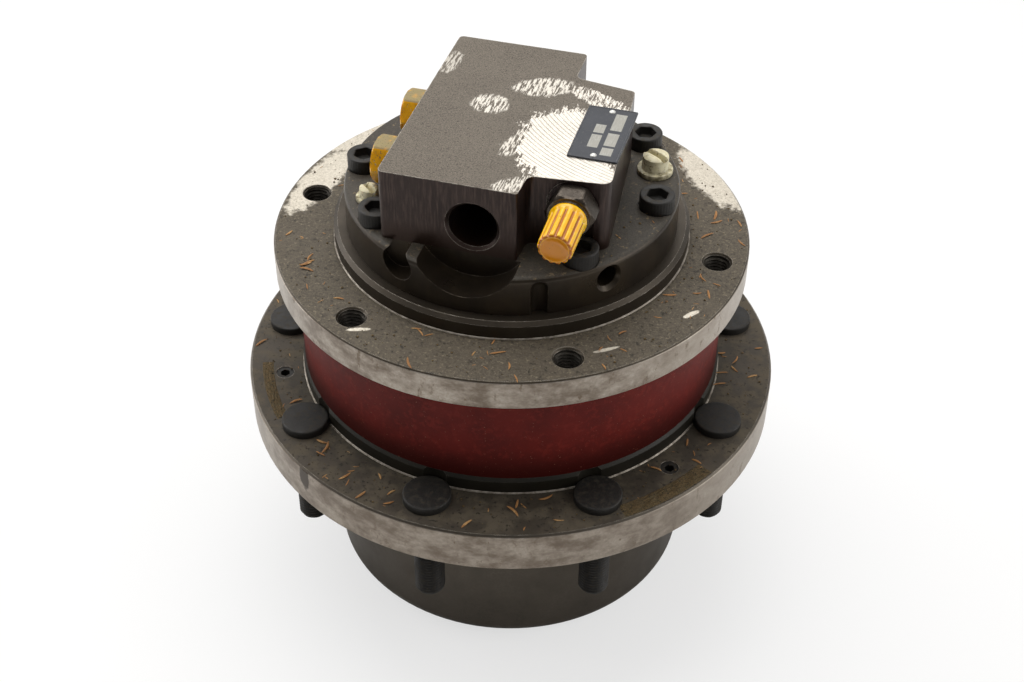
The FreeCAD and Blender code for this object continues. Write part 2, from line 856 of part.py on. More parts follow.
def make_fixed_carrier():
    plate = spun([
        (shaft_seal_radius, fixed_carrier_z), (fixed_carrier_radius - edge_break, fixed_carrier_z),
        (fixed_carrier_radius, fixed_carrier_z + edge_break),
        (fixed_carrier_radius, nose_z - edge_break),
        (fixed_carrier_radius - edge_break, nose_z),
        (shaft_seal_radius, nose_z)])
    pin = rod(second_pin_radius, fixed_carrier_z, nose_z)
    pins = [at_direction(pin, d, second_centre_radius) for d in second_planet_directions()]
    head_low = fixed_carrier_z
    head = rod(carrier_screw_head_radius + screw_clearance, head_low, head_low + carrier_screw_head_height)
    shank = rod(carrier_screw_radius, head_low, nose_z)
    heads = around(head.fuse(shank), carrier_screw_places(), carrier_screw_circle_radius)
    return plate.cut(pins + heads)


def make_second_stage_pins():
    low = second_stage_z - washer_thickness
    pin = rod(second_pin_radius, low, nose_z)
    return group([at_direction(pin, d, second_centre_radius) for d in second_planet_directions()])


def make_second_stage_washers():
    """Thrust washers between the planets and the fixed carrier."""
    outer = module * second_planet_teeth / 2 - 2 * module * dedendum_factor
    washer = ring(second_pin_radius, outer, second_stage_top_z + thrust_gap, fixed_carrier_z)
    return group([at_direction(washer, d, second_centre_radius) for d in second_planet_directions()])


# ---------------------------------------------------------------- housing
def frame_hole_angles():
    return even_angles(frame_hole_count, frame_hole_first_angle)


def make_housing():
    body = spun([
        (nose_bore_radius, nose_z),
        (bearing_inner_radius - edge_break, nose_z),
        (bearing_inner_radius, nose_z + edge_break),
        (bearing_inner_radius, upper_bearing_z + bearing_width),
        (housing_shoulder_radius, upper_bearing_z + bearing_width),
        (housing_shoulder_radius, seal_floor_z - edge_break),
        (seal_neck_radius, seal_floor_z + edge_break),
        (seal_neck_radius, seal_roof_z),
        (seal_bore_radius, seal_roof_z),
        (seal_bore_radius, frame_low_z),
        (frame_flange_radius - edge_break, frame_low_z),
        (frame_flange_radius, frame_low_z + edge_break),
        (frame_flange_radius, frame_top_z - edge_break),
        (frame_flange_radius - edge_break, frame_top_z),
        (upper_pilot_radius, frame_top_z),
        (upper_pilot_radius, pilot_top_z - 2 * edge_break),
        (upper_pilot_radius - 2 * edge_break, pilot_top_z),
        (brake_bore_radius, pilot_top_z),
        (brake_bore_radius, brake_floor_z),
        (chamber_radius, brake_floor_z),
        (chamber_radius, chamber_floor_z),
        (shaft_bearing_outer_radius, chamber_floor_z),
        (shaft_bearing_outer_radius, shaft_bearing_z),
        (shaft_seal_radius, shaft_bearing_z),
        (shaft_seal_radius, seal_pocket_z),
        (nose_bore_radius, seal_pocket_z),
    ])
    post = rod(swash_post_radius, chamber_floor_z - edge_break, chamber_floor_z + swash_post_height)
    posts = [moved(post, x=side * swash_pivot_x) for side in (-1, 1)]
    body = body.fuse(posts).removeSplitter()
    frame_hole = rod(frame_hole_radius, frame_low_z, frame_top_z).fuse(
        cone(frame_hole_radius, frame_hole_radius + edge_break, frame_top_z - edge_break, frame_top_z))
    frame_holes = around(frame_hole, frame_hole_angles(), frame_hole_circle_radius)
    screw_low = motor_top_z - screw_seat_depth - motor_cover_thickness - cover_screw_grip
    screw_holes = around(rod(cover_screw_radius, screw_low, pilot_top_z),
                         cover_screw_angles, cover_screw_circle_radius)
    carrier_hole = rod(carrier_screw_radius, nose_z,
                       fixed_carrier_z + carrier_screw_head_height + carrier_screw_length)
    carrier_holes = around(carrier_hole, carrier_screw_places(), carrier_screw_circle_radius)
    speed_bore = rod(speed_piston_radius, chamber_floor_z - speed_bore_depth, chamber_floor_z,
                     y=speed_piston_y)
    holes = frame_holes + screw_holes + carrier_holes + [speed_bore]
    return body.cut(holes + pivot_ball_shapes())


def pivot_ball_shapes():
    return [Part.makeSphere(swash_ball_radius, Vector(side * swash_pivot_x, 0, swash_pivot_z))
            for side in (-1, 1)]


def make_swash_plate():
    """Plate rocking on two balls, standing at its full working angle."""
    low = swash_pivot_z + swash_back_offset
    plate = ring(swash_bore_radius, swash_radius, low, low + swash_thickness)
    plate = turned(plate, swash_angle, Vector(0, 0, swash_pivot_z), Vector(1, 0, 0))
    sockets = [Part.makeSphere(swash_ball_radius + running_clearance,
                               Vector(side * swash_pivot_x, 0, swash_pivot_z)) for side in (-1, 1)]
    return plate.cut(sockets)


def make_speed_piston():
    """Piston behind the swash plate, its domed end just clear of the plate."""
    tilt = math.radians(swash_angle)
    radius = speed_piston_radius - running_clearance
    plate_z = swash_pivot_z + swash_back_offset / math.cos(tilt) + speed_piston_y * math.tan(tilt)
    centre_z = plate_z - (radius + speed_piston_gap) / math.cos(tilt)
    dome = Part.makeSphere(radius, Vector(0, speed_piston_y, centre_z))
    body = rod(radius, centre_z + radius - speed_piston_length, centre_z, y=speed_piston_y)
    return body.fuse(dome).removeSplitter()


def make_motor_shaft():
    joint = shaft_joint_z + shaft_end_gap / 2
    tail_z = pilot_top_z
    tail_end = tail_z + shaft_tail_bearing_width + shaft_tail_end_gap
    return spun([
        (0, joint), (sun_shaft_radius, joint), (sun_shaft_radius, seal_pocket_z),
        (shaft_spline_radius, seal_pocket_z), (shaft_spline_radius, shaft_bearing_z),
        (shaft_journal_radius, shaft_bearing_z), (shaft_journal_radius, chamber_floor_z),
        (shaft_body_radius, chamber_floor_z), (shaft_body_radius, barrel_z),
        (shaft_spline_radius, barrel_z), (shaft_spline_radius, barrel_top_z - barrel_port_radius),
        (shaft_tail_radius, barrel_top_z - barrel_port_radius), (shaft_tail_radius, tail_end),
        (0, tail_end)])


def make_drive_coupling():
    return ring(sun_shaft_radius, coupling_radius, coupling_z, coupling_z + coupling_length)


def make_shaft_seal():
    return ring(shaft_spline_radius + running_clearance, shaft_seal_radius, seal_pocket_z, shaft_bearing_z)


def make_shaft_bearings():
    """Needle bearing sleeves at the shaft's two journals."""
    lower = ring(shaft_journal_radius + running_clearance, shaft_bearing_outer_radius,
                 shaft_bearing_z + edge_break, shaft_bearing_z + edge_break + shaft_bearing_width)
    tail_low = pilot_top_z + edge_break
    upper = ring(shaft_tail_radius + running_clearance, shaft_tail_bearing_radius,
                 tail_low, tail_low + shaft_tail_bearing_width)
    return group([lower, upper])


def make_cylinder_barrel():
    body = ring(shaft_spline_radius, block_barrel_radius, barrel_z, barrel_top_z)
    bore = rod(piston_radius + piston_clearance, barrel_z, barrel_top_z - piston_bore_end)
    port = rod(barrel_port_radius, barrel_z, barrel_top_z)
    bores = around(bore.fuse(port), even_angles(piston_count), piston_circle_radius)
    return body.cut(bores)


def piston_foot_z():
    return slipper_z + slipper_height


def make_pistons():
    low = piston_foot_z()
    top = barrel_top_z - piston_bore_end - piston_end_gap
    middle = (low + top) / 2
    neck_low = slipper_z + slipper_foot
    piston = spun([
        (0, neck_low), (piston_neck_radius, neck_low), (piston_neck_radius, low),
        (piston_radius, low + piston_radius - piston_neck_radius),
        (piston_radius, top), (piston_neck_radius, top), (piston_neck_radius, middle), (0, middle)])
    return around(piston, even_angles(piston_count), piston_circle_radius)


def make_slippers():
    foot_top = slipper_z + slipper_foot
    slipper = spun([
        (0, slipper_z), (slipper_radius, slipper_z), (slipper_radius, foot_top),
        (slipper_collar_radius, foot_top), (slipper_collar_radius, piston_foot_z() - edge_break),
        (piston_neck_radius, piston_foot_z() - edge_break), (piston_neck_radius, foot_top), (0, foot_top)])
    return around(slipper, even_angles(piston_count), piston_circle_radius)


def make_slipper_plate():
    low = slipper_z + slipper_foot
    plate = ring(shaft_spline_radius + edge_break, slipper_plate_radius, low, low + slipper_plate_thickness)
    holes = around(rod(slipper_collar_radius, low, low + slipper_plate_thickness),
                   even_angles(piston_count), piston_circle_radius)
    return plate.cut(holes)


def make_valve_plate():
    plate = ring(shaft_tail_radius + edge_break, valve_plate_radius, valve_plate_z, pilot_top_z)
    inner = piston_circle_radius - barrel_port_radius
    outer = piston_circle_radius + barrel_port_radius
    section = [(inner, valve_plate_z), (outer, valve_plate_z), (outer, pilot_top_z), (inner, pilot_top_z)]
    kidney = spun(section, 120.0)
    return plate.cut([turned(kidney, -150.0), turned(kidney, 30.0)])


def plate_stack_z(index):
    """Underside of a plate in the brake stack, counted from the bore's shoulder."""
    return brake_floor_z + plate_stack_gap + index * (plate_stack_thickness + plate_stack_gap)


def make_friction_plates():
    plates = []
    for index in range(friction_plate_count):
        low = plate_stack_z(2 * index + 1)
        plates.append(ring(block_barrel_radius, friction_plate_outer_radius,
                           low, low + plate_stack_thickness))
    return group(plates)


def make_steel_plates():
    plates = []
    for index in range(friction_plate_count + 1):
        low = plate_stack_z(2 * index)
        plates.append(ring(steel_plate_inner_radius, brake_bore_radius, low, low + plate_stack_thickness))
    return group(plates)


def brake_piston_z():
    return plate_stack_z(2 * friction_plate_count + 1)


def make_brake_piston():
    return ring(brake_piston_inner_radius, brake_bore_radius - running_clearance,
                brake_piston_z(), pilot_top_z - disc_spring_height)


def make_brake_spring():
    """Conical disc spring between brake piston and motor cover."""
    low = pilot_top_z - disc_spring_height
    inner = brake_piston_inner_radius + edge_break
    outer = brake_bore_radius - edge_break
    return spun([
        (inner, low), (inner + edge_break, low), (outer, pilot_top_z - disc_spring_thickness),
        (outer, pilot_top_z), (outer - edge_break, pilot_top_z),
        (inner, low + disc_spring_thickness)])


# ---------------------------------------------------------------- motor cover and its fittings
def block_outline():
    return [
        (block_left, block_front, block_corner_radius),
        (block_step_x - 1.0, block_front, block_corner_radius / 2),
        (block_step_x, block_side_front, block_notch_radius),
        (block_right_front[0], block_right_front[1], block_corner_radius * 2),
        (block_right_back[0], block_right_back[1], block_corner_radius),
        (block_step_x, block_side_back, block_notch_radius),
        (block_step_x, block_back, block_corner_radius),
        (block_left, block_back, block_corner_radius)]


def side_face_y(x, front, corner):
    """Y of the narrow part's front or back face at an x between the step and its outer corner."""
    share = (x - block_step_x) / (corner[0] - block_step_x)
    return front + share * (corner[1] - front)


def pilot_front_y():
    return side_face_y(pilot_x, block_side_front, block_right_front)


def pilot_back_y():
    return side_face_y(pilot_x, block_side_back, block_right_back)


def port_cut(side):
    """Main port bore with its chamfer, and the drilling down to the valve plate."""
    face_y = block_front if side < 0 else block_back
    inward = Vector(0, -side, 0)
    start = Vector(port_x, face_y, port_z)
    bore = bar(port_radius, start, inward, port_depth)
    mouth = Part.makeCone(port_radius + port_chamfer, port_radius, port_chamfer, start, inward)
    drop = rod(barrel_port_radius, pilot_top_z, port_z, x=port_x, y=side * piston_circle_radius)
    return [bore, mouth, drop]


def front_relief():
    """Milled clearance in front of the port face, its lower edge following the spotfaces."""
    depth = motor_cover_radius + block_front
    wide = bar(port_spotface_radius, Vector(port_x, block_front, port_z), Vector(0, -1, 0), depth)
    pocket = bar(side_pocket_radius, Vector(side_pocket_x, block_front, block_top_z - side_pocket_drop),
                 Vector(0, -1, 0), depth)
    return [wide, pocket]


def screw_seat():
    low = motor_top_z - screw_seat_depth
    head_room = rod(cover_screw_head_radius + screw_clearance, low,
                    motor_top_z + 2 * cover_screw_head_height)
    shank = rod(cover_screw_radius + screw_clearance, pilot_top_z, low)
    return head_room.fuse(shank)


def cross_port_cut():
    hole_z = motor_top_z - cross_port_below_top
    start = Vector(0, -motor_cover_radius - 1, hole_z)
    hole = bar(cross_port_radius, start, Vector(0, 1, 0), port_radius * 2)
    mouth = Part.makeCone(cross_port_radius + 2 * edge_break + 1, cross_port_radius, 2 * edge_break + 1,
                          start, Vector(0, 1, 0))
    return turned(hole.fuse(mouth), cross_port_angle)


def flute_cut():
    x, y = spot(motor_cover_radius + 1, flute_angle)
    body = rod(flute_radius, pilot_top_z, pilot_top_z + flute_height - flute_radius, x, y)
    return body.fuse(Part.makeSphere(flute_radius, Vector(x, y, pilot_top_z + flute_height - flute_radius)))


def make_motor_cover():
    disc = spun([
        (0, pilot_top_z), (motor_cover_radius, pilot_top_z),
        (motor_cover_radius, motor_top_z, motor_cover_edge_radius), (0, motor_top_z)])
    block = prism(block_outline(), pilot_top_z + motor_cover_thickness / 2, block_top_z)
    body = disc.fuse(block).removeSplitter()
    cuts = port_cut(-1) + port_cut(1) + front_relief()
    cuts += around(screw_seat(), cover_screw_angles, cover_screw_circle_radius)
    cuts += [drain_port(drain_plug_radius, drain_plug_angle, drain_plug_circle_radius),
             drain_port(bleed_plug_radius, bleed_plug_angle, bleed_plug_circle_radius)]
    cuts += [bar(side_plug_radius, Vector(block_left, y, side_plug_z), Vector(1, 0, 0),
                 2 * side_plug_thread)
             for y in side_plug_y]
    cuts.append(bar(spool_bore_radius, Vector(block_left, spool_y, side_plug_z), Vector(1, 0, 0),
                    spool_plug_length + spool_length + 2 * spool_travel))
    cuts.append(bar(pilot_bore_radius, Vector(pilot_x, block_front, pilot_z), Vector(0, 1, 0),
                    block_back - block_front))
    cuts.append(bar(adapter_seat_radius, Vector(pilot_x, pilot_front_y(), pilot_z), Vector(0, -1, 0),
                    adapter_seat_depth))
    cuts.append(rod(shaft_tail_bearing_radius, pilot_top_z,
                    pilot_top_z + shaft_tail_bearing_width + 2 * shaft_tail_end_gap))
    cuts += [cross_port_cut(), flute_cut()]
    return body.cut(cuts)


def make_motor_cover_screws():
    screw = socket_screw(cover_screw_radius, motor_cover_thickness - screw_seat_depth + cover_screw_grip,
                         cover_screw_head_radius, cover_screw_head_height, cover_screw_socket)
    screw = moved(screw, z=motor_top_z - screw_seat_depth)
    return group(around(screw, cover_screw_angles, cover_screw_circle_radius))


def drain_port(radius, angle, circle_radius):
    x, y = spot(circle_radius, angle)
    return rod(radius, pilot_top_z + motor_cover_thickness / 2, motor_top_z, x, y)


def slotted_plug(radius, flange, height, angle, circle_radius):
    """Plastic closing plug: stub, round flange and a slotted crown."""
    crown = (radius + flange) / 2
    plug = spun([
        (0, -radius), (radius, -radius), (radius, 0), (flange, 0),
        (flange, plug_rim_height - plug_rim_chamfer), (flange - plug_rim_chamfer, plug_rim_height),
        (crown, plug_rim_height), (crown - edge_break, height - edge_break),
        (crown - 2 * edge_break, height), (0, height)])
    slot = Part.makeBox(3 * flange, plug_slot_width, height,
                        Vector(-1.5 * flange, -plug_slot_width / 2, height * (1 - plug_slot_depth_share)))
    return around(moved(plug.cut(slot), z=motor_top_z), [angle], circle_radius)[0]


def make_drain_port_plugs():
    return group([
        slotted_plug(drain_plug_radius, drain_plug_flange_radius, drain_plug_height,
                     drain_plug_angle, drain_plug_circle_radius),
        slotted_plug(bleed_plug_radius, bleed_plug_flange_radius, bleed_plug_height,
                     bleed_plug_angle, bleed_plug_circle_radius)])


def make_side_port_plugs():
    """Hexagonal plastic plugs in the pilot ports on the block's left face."""
    head = hexagon(side_plug_across_flats, 0, side_plug_length)
    corner = side_plug_across_flats / 2 / math.cos(math.radians(30))
    head = head.common(spun([
        (0, 0), (corner, 0), (corner, side_plug_length - hex_chamfer),
        (corner - hex_chamfer, side_plug_length), (0, side_plug_length)]))
    plug = head.fuse(rod(side_plug_radius, -side_plug_thread, 0)).removeSplitter()
    plug = turned(turned(plug, 30.0), -90.0, ORIGIN, Vector(0, 1, 0))
    return group([moved(plug, x=block_left, y=y, z=side_plug_z) for y in side_plug_y])


def make_pilot_adapter():
    nut = hexagon(adapter_across_flats, 0, adapter_hex_length)
    corner = adapter_across_flats / 2 / math.cos(math.radians(30))
    nut = nut.common(spun([
        (0, 0), (corner - edge_break, 0), (corner, edge_break),
        (corner, adapter_hex_length - hex_chamfer),
        (corner - hex_chamfer, adapter_hex_length), (0, adapter_hex_length)]))
    body = nut.fuse([rod(pilot_bore_radius, -adapter_thread, 0),
                     rod(nipple_radius, 0, adapter_hex_length + nipple_length)])
    body = turned(body.removeSplitter(), 90.0, ORIGIN, Vector(1, 0, 0))
    return moved(body, x=pilot_x, y=pilot_front_y(), z=pilot_z)


def make_pilot_cap():
    """Ribbed plastic screw cap over the adapter's nipple."""
    points = []
    for rib in range(cap_rib_count):
        middle = 2 * math.pi * rib / cap_rib_count
        step = math.pi / cap_rib_count
        for offset, radius in ((-cap_rib_foot, cap_radius), (cap_rib_foot / 2, cap_radius),
                               (cap_groove_start, cap_radius - cap_rib_depth),
                               (cap_groove_end, cap_radius - cap_rib_depth)):
            points.append(Vector(radius * math.cos(middle + offset * step),
                                 radius * math.sin(middle + offset * step), 0))
    ribbed = Part.Face(Part.makePolygon(points + points[:1])).extrude(Vector(0, 0, cap_length))
    envelope = spun([(0, 0), (cap_radius, 0), (cap_radius, cap_length - cap_edge_break),
                     (cap_radius - cap_edge_break, cap_length), (0, cap_length)])
    cap = ribbed.common(envelope).cut(rod(nipple_radius, 0, nipple_length - cap_gap))
    cap = turned(cap, 90.0, ORIGIN, Vector(1, 0, 0))
    return moved(cap, x=pilot_x, y=pilot_front_y() - adapter_hex_length - cap_gap, z=pilot_z)


def spool_shape(radius, length, land):
    """Spool with three lands between narrower necks, lying along Z."""
    neck = radius * spool_neck_share
    gap = (length - 3 * land) / 2
    return spun([
        (0, 0), (radius, 0), (radius, land), (neck, land), (neck, land + gap), (radius, land + gap),
        (radius, 2 * land + gap), (neck, 2 * land + gap), (neck, 2 * land + 2 * gap),
        (radius, 2 * land + 2 * gap), (radius, length), (0, length)])


def make_valve_spool():
    radius = spool_bore_radius - running_clearance
    spool = turned(spool_shape(radius, spool_length, spool_length / 5), 90.0, ORIGIN, Vector(0, 1, 0))
    return moved(spool, x=block_left + spool_plug_length + spool_travel, y=spool_y, z=side_plug_z)


def speed_spool_y():
    """Front end of the two-speed spool, behind the adapter's thread."""
    return pilot_front_y() + adapter_thread + spool_end_gap


def speed_plug_y():
    """Outer face of the plug that closes the two-speed spool's bore."""
    return pilot_back_y() - spool_plug_sink


def speed_spool_length():
    """What is left of the bore between thread and plug once the spool has its travel."""
    return speed_plug_y() - spool_plug_length - spool_end_gap - speed_spool_travel - speed_spool_y()


def make_speed_spool():
    radius = pilot_bore_radius - running_clearance
    length = speed_spool_length()
    spool = turned(spool_shape(radius, length, length / 5), -90.0, ORIGIN, Vector(1, 0, 0))
    return moved(spool, x=pilot_x, y=speed_spool_y(), z=pilot_z)


def make_spool_end_plugs():
    """Flush socket plugs closing the two spool bores."""
    left = bar(spool_bore_radius, Vector(block_left, spool_y, side_plug_z), Vector(1, 0, 0),
               spool_plug_length)
    socket = turned(hexagon(spool_bore_radius, 0, spool_plug_length / 2), 90.0, ORIGIN, Vector(0, 1, 0))
    left = left.cut(moved(socket, x=block_left, y=spool_y, z=side_plug_z))
    back_y = speed_plug_y()
    back = bar(pilot_bore_radius, Vector(pilot_x, back_y - spool_plug_length, pilot_z), Vector(0, 1, 0),
               spool_plug_length)
    socket = turned(hexagon(pilot_bore_radius, 0, spool_plug_length / 2), 90.0, ORIGIN, Vector(1, 0, 0))
    back = back.cut(moved(socket, x=pilot_x, y=back_y, z=pilot_z))
    return group([left, back])


def rivet_places():
    middle = (plate_x[0] + plate_x[1]) / 2
    return [(middle, plate_y[0] + rivet_inset), (middle, plate_y[1] - rivet_inset)]


def make_nameplate():
    corners = [(plate_x[0], plate_y[0], 1), (plate_x[1], plate_y[0], 1),
               (plate_x[1], plate_y[1], 1), (plate_x[0], plate_y[1], 1)]
    plate = prism(corners, block_top_z, block_top_z + plate_thickness)
    hole = rod(rivet_radius / 2, block_top_z, block_top_z + plate_thickness)
    return plate.cut([moved(hole, x=x, y=y) for x, y in rivet_places()])


def make_nameplate_rivets():
    low = block_top_z + plate_thickness
    rivet = spun([(0, low - plate_thickness), (rivet_radius / 2, low - plate_thickness),
                  (rivet_radius / 2, low), (rivet_radius, low),
                  (rivet_radius * rivet_crown_share, low + rivet_height),
                  (0, low + rivet_height)])
    return group([moved(rivet, x=x, y=y) for x, y in rivet_places()])


# ---------------------------------------------------------------- nodes
def second_planets():
    planets = {}
    for number, direction in enumerate(second_planet_directions(), 1):
        planets["second_stage_planet_%d" % number] = make_planet(
            second_planet_teeth, direction, second_centre_radius, second_stage_z,
            second_gear_width, second_pin_radius)
    return planets


def first_planets():
    planets = {}
    for number, direction in enumerate(first_planet_directions(), 1):
        planets["first_stage_planet_%d" % number] = make_planet(
            first_planet_teeth, direction, first_centre_radius, first_stage_z,
            first_gear_width, first_pin_radius)
    return planets


def all_nodes():
    nodes = {
        "hub": make_hub(),
        "ring_gear": make_ring_gear(),
        "ring_gear_pins": group(ring_pin_shapes()),
        "end_cover": make_end_cover(),
        "end_cover_snap_ring": make_snap_ring(),
        "end_cover_o_ring": make_cover_o_ring(),
        "oil_plugs": make_oil_plugs(),
        "thrust_button": make_thrust_button(),
        "wheel_studs": make_wheel_studs(),
        "flange_set_screws": make_flange_set_screws(),
        "bearing_cups": group([lower_bearing(make_bearing_cup()),
                               upper_bearing(make_bearing_cup())]),
        "lower_bearing_rollers": lower_bearing(make_bearing_rollers()),
        "upper_bearing_rollers": upper_bearing(make_bearing_rollers()),
        "bearing_cones": group([lower_bearing(make_bearing_cone()),
                                upper_bearing(make_bearing_cone())]),
        "hub_face_seal": seal_half(True),
        "hub_seal_rubber": seal_elastomer(True),
        "housing_face_seal": seal_half(False),
        "housing_seal_rubber": seal_elastomer(False),
        "motor_housing": make_housing(),
        "fixed_carrier": make_fixed_carrier(),
        "fixed_carrier_screws": group(around(carrier_screw_shape(), carrier_screw_places(),
                                             carrier_screw_circle_radius)),
        "second_stage_pins": make_second_stage_pins(),
        "second_stage_washers": make_second_stage_washers(),
        "first_carrier": make_first_carrier(),
        "first_stage_pins": make_first_stage_pins(),
        "second_sun_gear": make_second_sun(),
        "sun_shaft": make_sun_shaft(),
        "drive_coupling": make_drive_coupling(),
        "motor_shaft": make_motor_shaft(),
        "shaft_seal": make_shaft_seal(),
        "shaft_bearings": make_shaft_bearings(),
        "cylinder_barrel": make_cylinder_barrel(),
        "pistons": group(make_pistons() + make_slippers()),
        "slipper_plate": make_slipper_plate(),
        "swash_plate": make_swash_plate(),
        "swash_pivot_balls": group(pivot_ball_shapes()),
        "speed_piston": make_speed_piston(),
        "valve_plate": make_valve_plate(),
        "brake_friction_plates": make_friction_plates(),
        "brake_steel_plates": make_steel_plates(),
        "brake_piston": make_brake_piston(),
        "brake_spring": make_brake_spring(),
        "motor_cover": make_motor_cover(),
        "motor_cover_screws": make_motor_cover_screws(),
        "drain_port_plugs": make_drain_port_plugs(),
        "side_port_plugs": make_side_port_plugs(),
        "pilot_adapter": make_pilot_adapter(),
        "pilot_adapter_cap": make_pilot_cap(),
        "counterbalance_spool": make_valve_spool(),
        "two_speed_spool": make_speed_spool(),
        "spool_end_plugs": make_spool_end_plugs(),
        "nameplate": make_nameplate(),
        "nameplate_rivets": make_nameplate_rivets(),
    }
    nodes.update(second_planets())
    nodes.update(first_planets())
    return nodes


def main():
    os.makedirs("parts", exist_ok=True)
    for name, shape in all_nodes().items():
        shape.exportStep("parts/%s.step" % name)
        print("%-24s %2d solid(s) %10.0f mm3 valid=%s"
              % (name, len(shape.Solids), shape.Volume, shape.isValid()))


main()
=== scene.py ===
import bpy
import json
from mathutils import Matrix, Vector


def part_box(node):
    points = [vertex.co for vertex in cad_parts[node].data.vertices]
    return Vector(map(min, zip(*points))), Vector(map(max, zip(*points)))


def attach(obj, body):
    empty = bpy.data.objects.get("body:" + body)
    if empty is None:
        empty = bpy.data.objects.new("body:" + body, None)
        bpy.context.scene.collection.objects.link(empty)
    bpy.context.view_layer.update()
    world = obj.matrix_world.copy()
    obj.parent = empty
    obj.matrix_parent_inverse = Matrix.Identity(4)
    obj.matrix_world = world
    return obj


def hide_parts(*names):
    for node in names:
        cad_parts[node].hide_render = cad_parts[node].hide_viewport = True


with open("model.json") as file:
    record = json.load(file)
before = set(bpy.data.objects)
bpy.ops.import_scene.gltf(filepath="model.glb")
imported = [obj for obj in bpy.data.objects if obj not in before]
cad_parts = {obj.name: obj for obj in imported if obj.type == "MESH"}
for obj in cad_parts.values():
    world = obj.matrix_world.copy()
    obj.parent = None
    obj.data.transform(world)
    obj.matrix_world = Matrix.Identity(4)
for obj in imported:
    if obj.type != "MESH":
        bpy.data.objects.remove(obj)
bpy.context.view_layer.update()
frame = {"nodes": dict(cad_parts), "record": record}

import json
import math

import bpy
import numpy as np
from mathutils import Matrix, Vector

bl_info = {
    "name": "Track final drive dressing",
    "version": (1, 0, 0),
    "blender": (4, 5, 0),
    "location": "View3D > Sidebar > Final drive",
    "description": "Dresses the packed track final drive with detailed fittings, finishes and a studio stage",
    "category": "Object",
}

MM = 0.001
MOUNTS = {mount["name"]: mount for mount in frame["record"]["mounts"]}

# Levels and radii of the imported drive, metres
FLANGE_LOW = MOUNTS["sprocket_face"]["pos_m"][2]
STUD_HEAD_HEIGHT = 4.5 * MM
STUD_HEAD_RADIUS = 12.4 * MM
STUD_SHANK_EXTRA = 0.5 * MM
STUD_TIP = 2.5 * MM
FLANGE_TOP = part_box("wheel_studs")[1].z - STUD_HEAD_HEIGHT
FLANGE_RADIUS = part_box("hub")[1].x
STEP_RADIUS = 115.0 * MM
STEP_TOP = FLANGE_TOP + 9.6 * MM
BAND_RADIUS = 114.0 * MM
HUB_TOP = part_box("hub")[1].z
FRAME_FACE = MOUNTS["frame_face"]["pos_m"][2]
FRAME_LOW = FRAME_FACE - 17.1 * MM
FRAME_RADIUS = 124.8 * MM
PILOT_RADIUS = MOUNTS["frame_pilot"]["dims"]["r_mm"] * MM
PILOT_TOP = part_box("motor_housing")[1].z
DECK = PILOT_TOP + 22.0 * MM
BLOCK_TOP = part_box("motor_cover")[1].z
STUD_CIRCLE = MOUNTS["sprocket_studs"]["dims"]["pcd_mm"] / 2 * MM
STUD_COUNT = MOUNTS["sprocket_studs"]["dims"]["count"]
STUD_FIRST_ANGLE = 36.3
FRAME_HOLE_CIRCLE = MOUNTS["frame_bolts"]["dims"]["pcd_mm"] / 2 * MM
FRAME_HOLE_COUNT = MOUNTS["frame_bolts"]["dims"]["count"]
FRAME_HOLE_FIRST_ANGLE = 30.0
COVER_SCREW_ANGLES = (41.0, 86.5, 130.0, -130.0, -81.5, -45.0)
COVER_SCREW_CIRCLE = 77.0 * MM
COVER_SCREW_SEAT = 1.0 * MM
COVER_SCREW_HEAD = {"head_radius": 9.0 * MM, "head": 8.5 * MM, "socket": 10.0 * MM, "chamfer": 0.8 * MM}
HEX_FLATS = 22.0 * MM
HEX_CORNER_RADIUS = 12.7 * MM
ADAPTER_THREAD_RADIUS = 7.0 * MM
ADAPTER_HEX_LENGTH = 11.0 * MM
ADAPTER_SEAT_LENGTH = 12.0 * MM
CAP_RADIUS = 8.8 * MM
CAP_AXIS = (45.0 * MM, 271.4 * MM)
SIDE_PLUG_THREAD_RADIUS = 8.0 * MM
SIDE_PLUG_LENGTH = 15.0 * MM
SIDE_PLUG_PLACES = (-29.0 * MM, 17.0 * MM)
THREAD_REACH = 6.0 * MM
# Cream plugs: circle radius, angle, turn of the slot; then flange, rim, crown, height and slot width
DECK_PLUGS = (((74.0 * MM, 110.0, 0.7), (9.3 * MM, 2.8 * MM, 6.8 * MM, 11.0 * MM, 2.6 * MM)),
              ((75.0 * MM, -58.0, 0.3), (6.8 * MM, 2.4 * MM, 4.8 * MM, 8.0 * MM, 2.0 * MM)))
RIVET_RADIUS = 1.6 * MM
SEED = 1355

# Stage: the camera looks down at the front right of the drive, 661 mm in front of its axis
CAMERA_PLACE = (185.1, -660.8, 712.4)
CAMERA_ANGLES = (15.6, 40.06, 0.46)
CAMERA_LENS = 56.39
CAMERA_SENSOR = 36.0
FLOOR_REACH = 4.0
# Name, place and aim in metres, width in metres, power in watts
SOFTBOXES = (("overhead_softbox", (-0.25, 0.35, 1.35), (0.0, 0.0, 0.2), 1.3, 15.0),
             ("left_softbox", (-1.3, 0.1, 0.55), (0.0, 0.0, 0.12), 0.9, 5.0),
             ("right_softbox", (1.4, 0.1, 0.6), (0.0, 0.0, 0.12), 0.9, 5.0))


# ---------------------------------------------------------------- colours and nodes
def linear(code):
    """sRGB hex code to linear red, green, blue and a full alpha."""
    parts = [int(code[i:i + 2], 16) / 255 for i in (0, 2, 4)]
    return tuple(c / 12.92 if c <= 0.04045 else ((c + 0.055) / 1.055) ** 2.4 for c in parts) + (1.0,)


def add(tree, kind, settings=None, inputs=None, out=0):
    """Adds a node with its settings, sets or links its inputs, and gives back one output."""
    node = tree.nodes.new(kind)
    for key, value in (settings or {}).items():
        setattr(node, key, value)
    for key, value in (inputs or {}).items():
        if isinstance(value, bpy.types.NodeSocket):
            tree.links.new(value, node.inputs[key])
        else:
            node.inputs[key].default_value = value
    return node.outputs[out] if len(node.outputs) else node


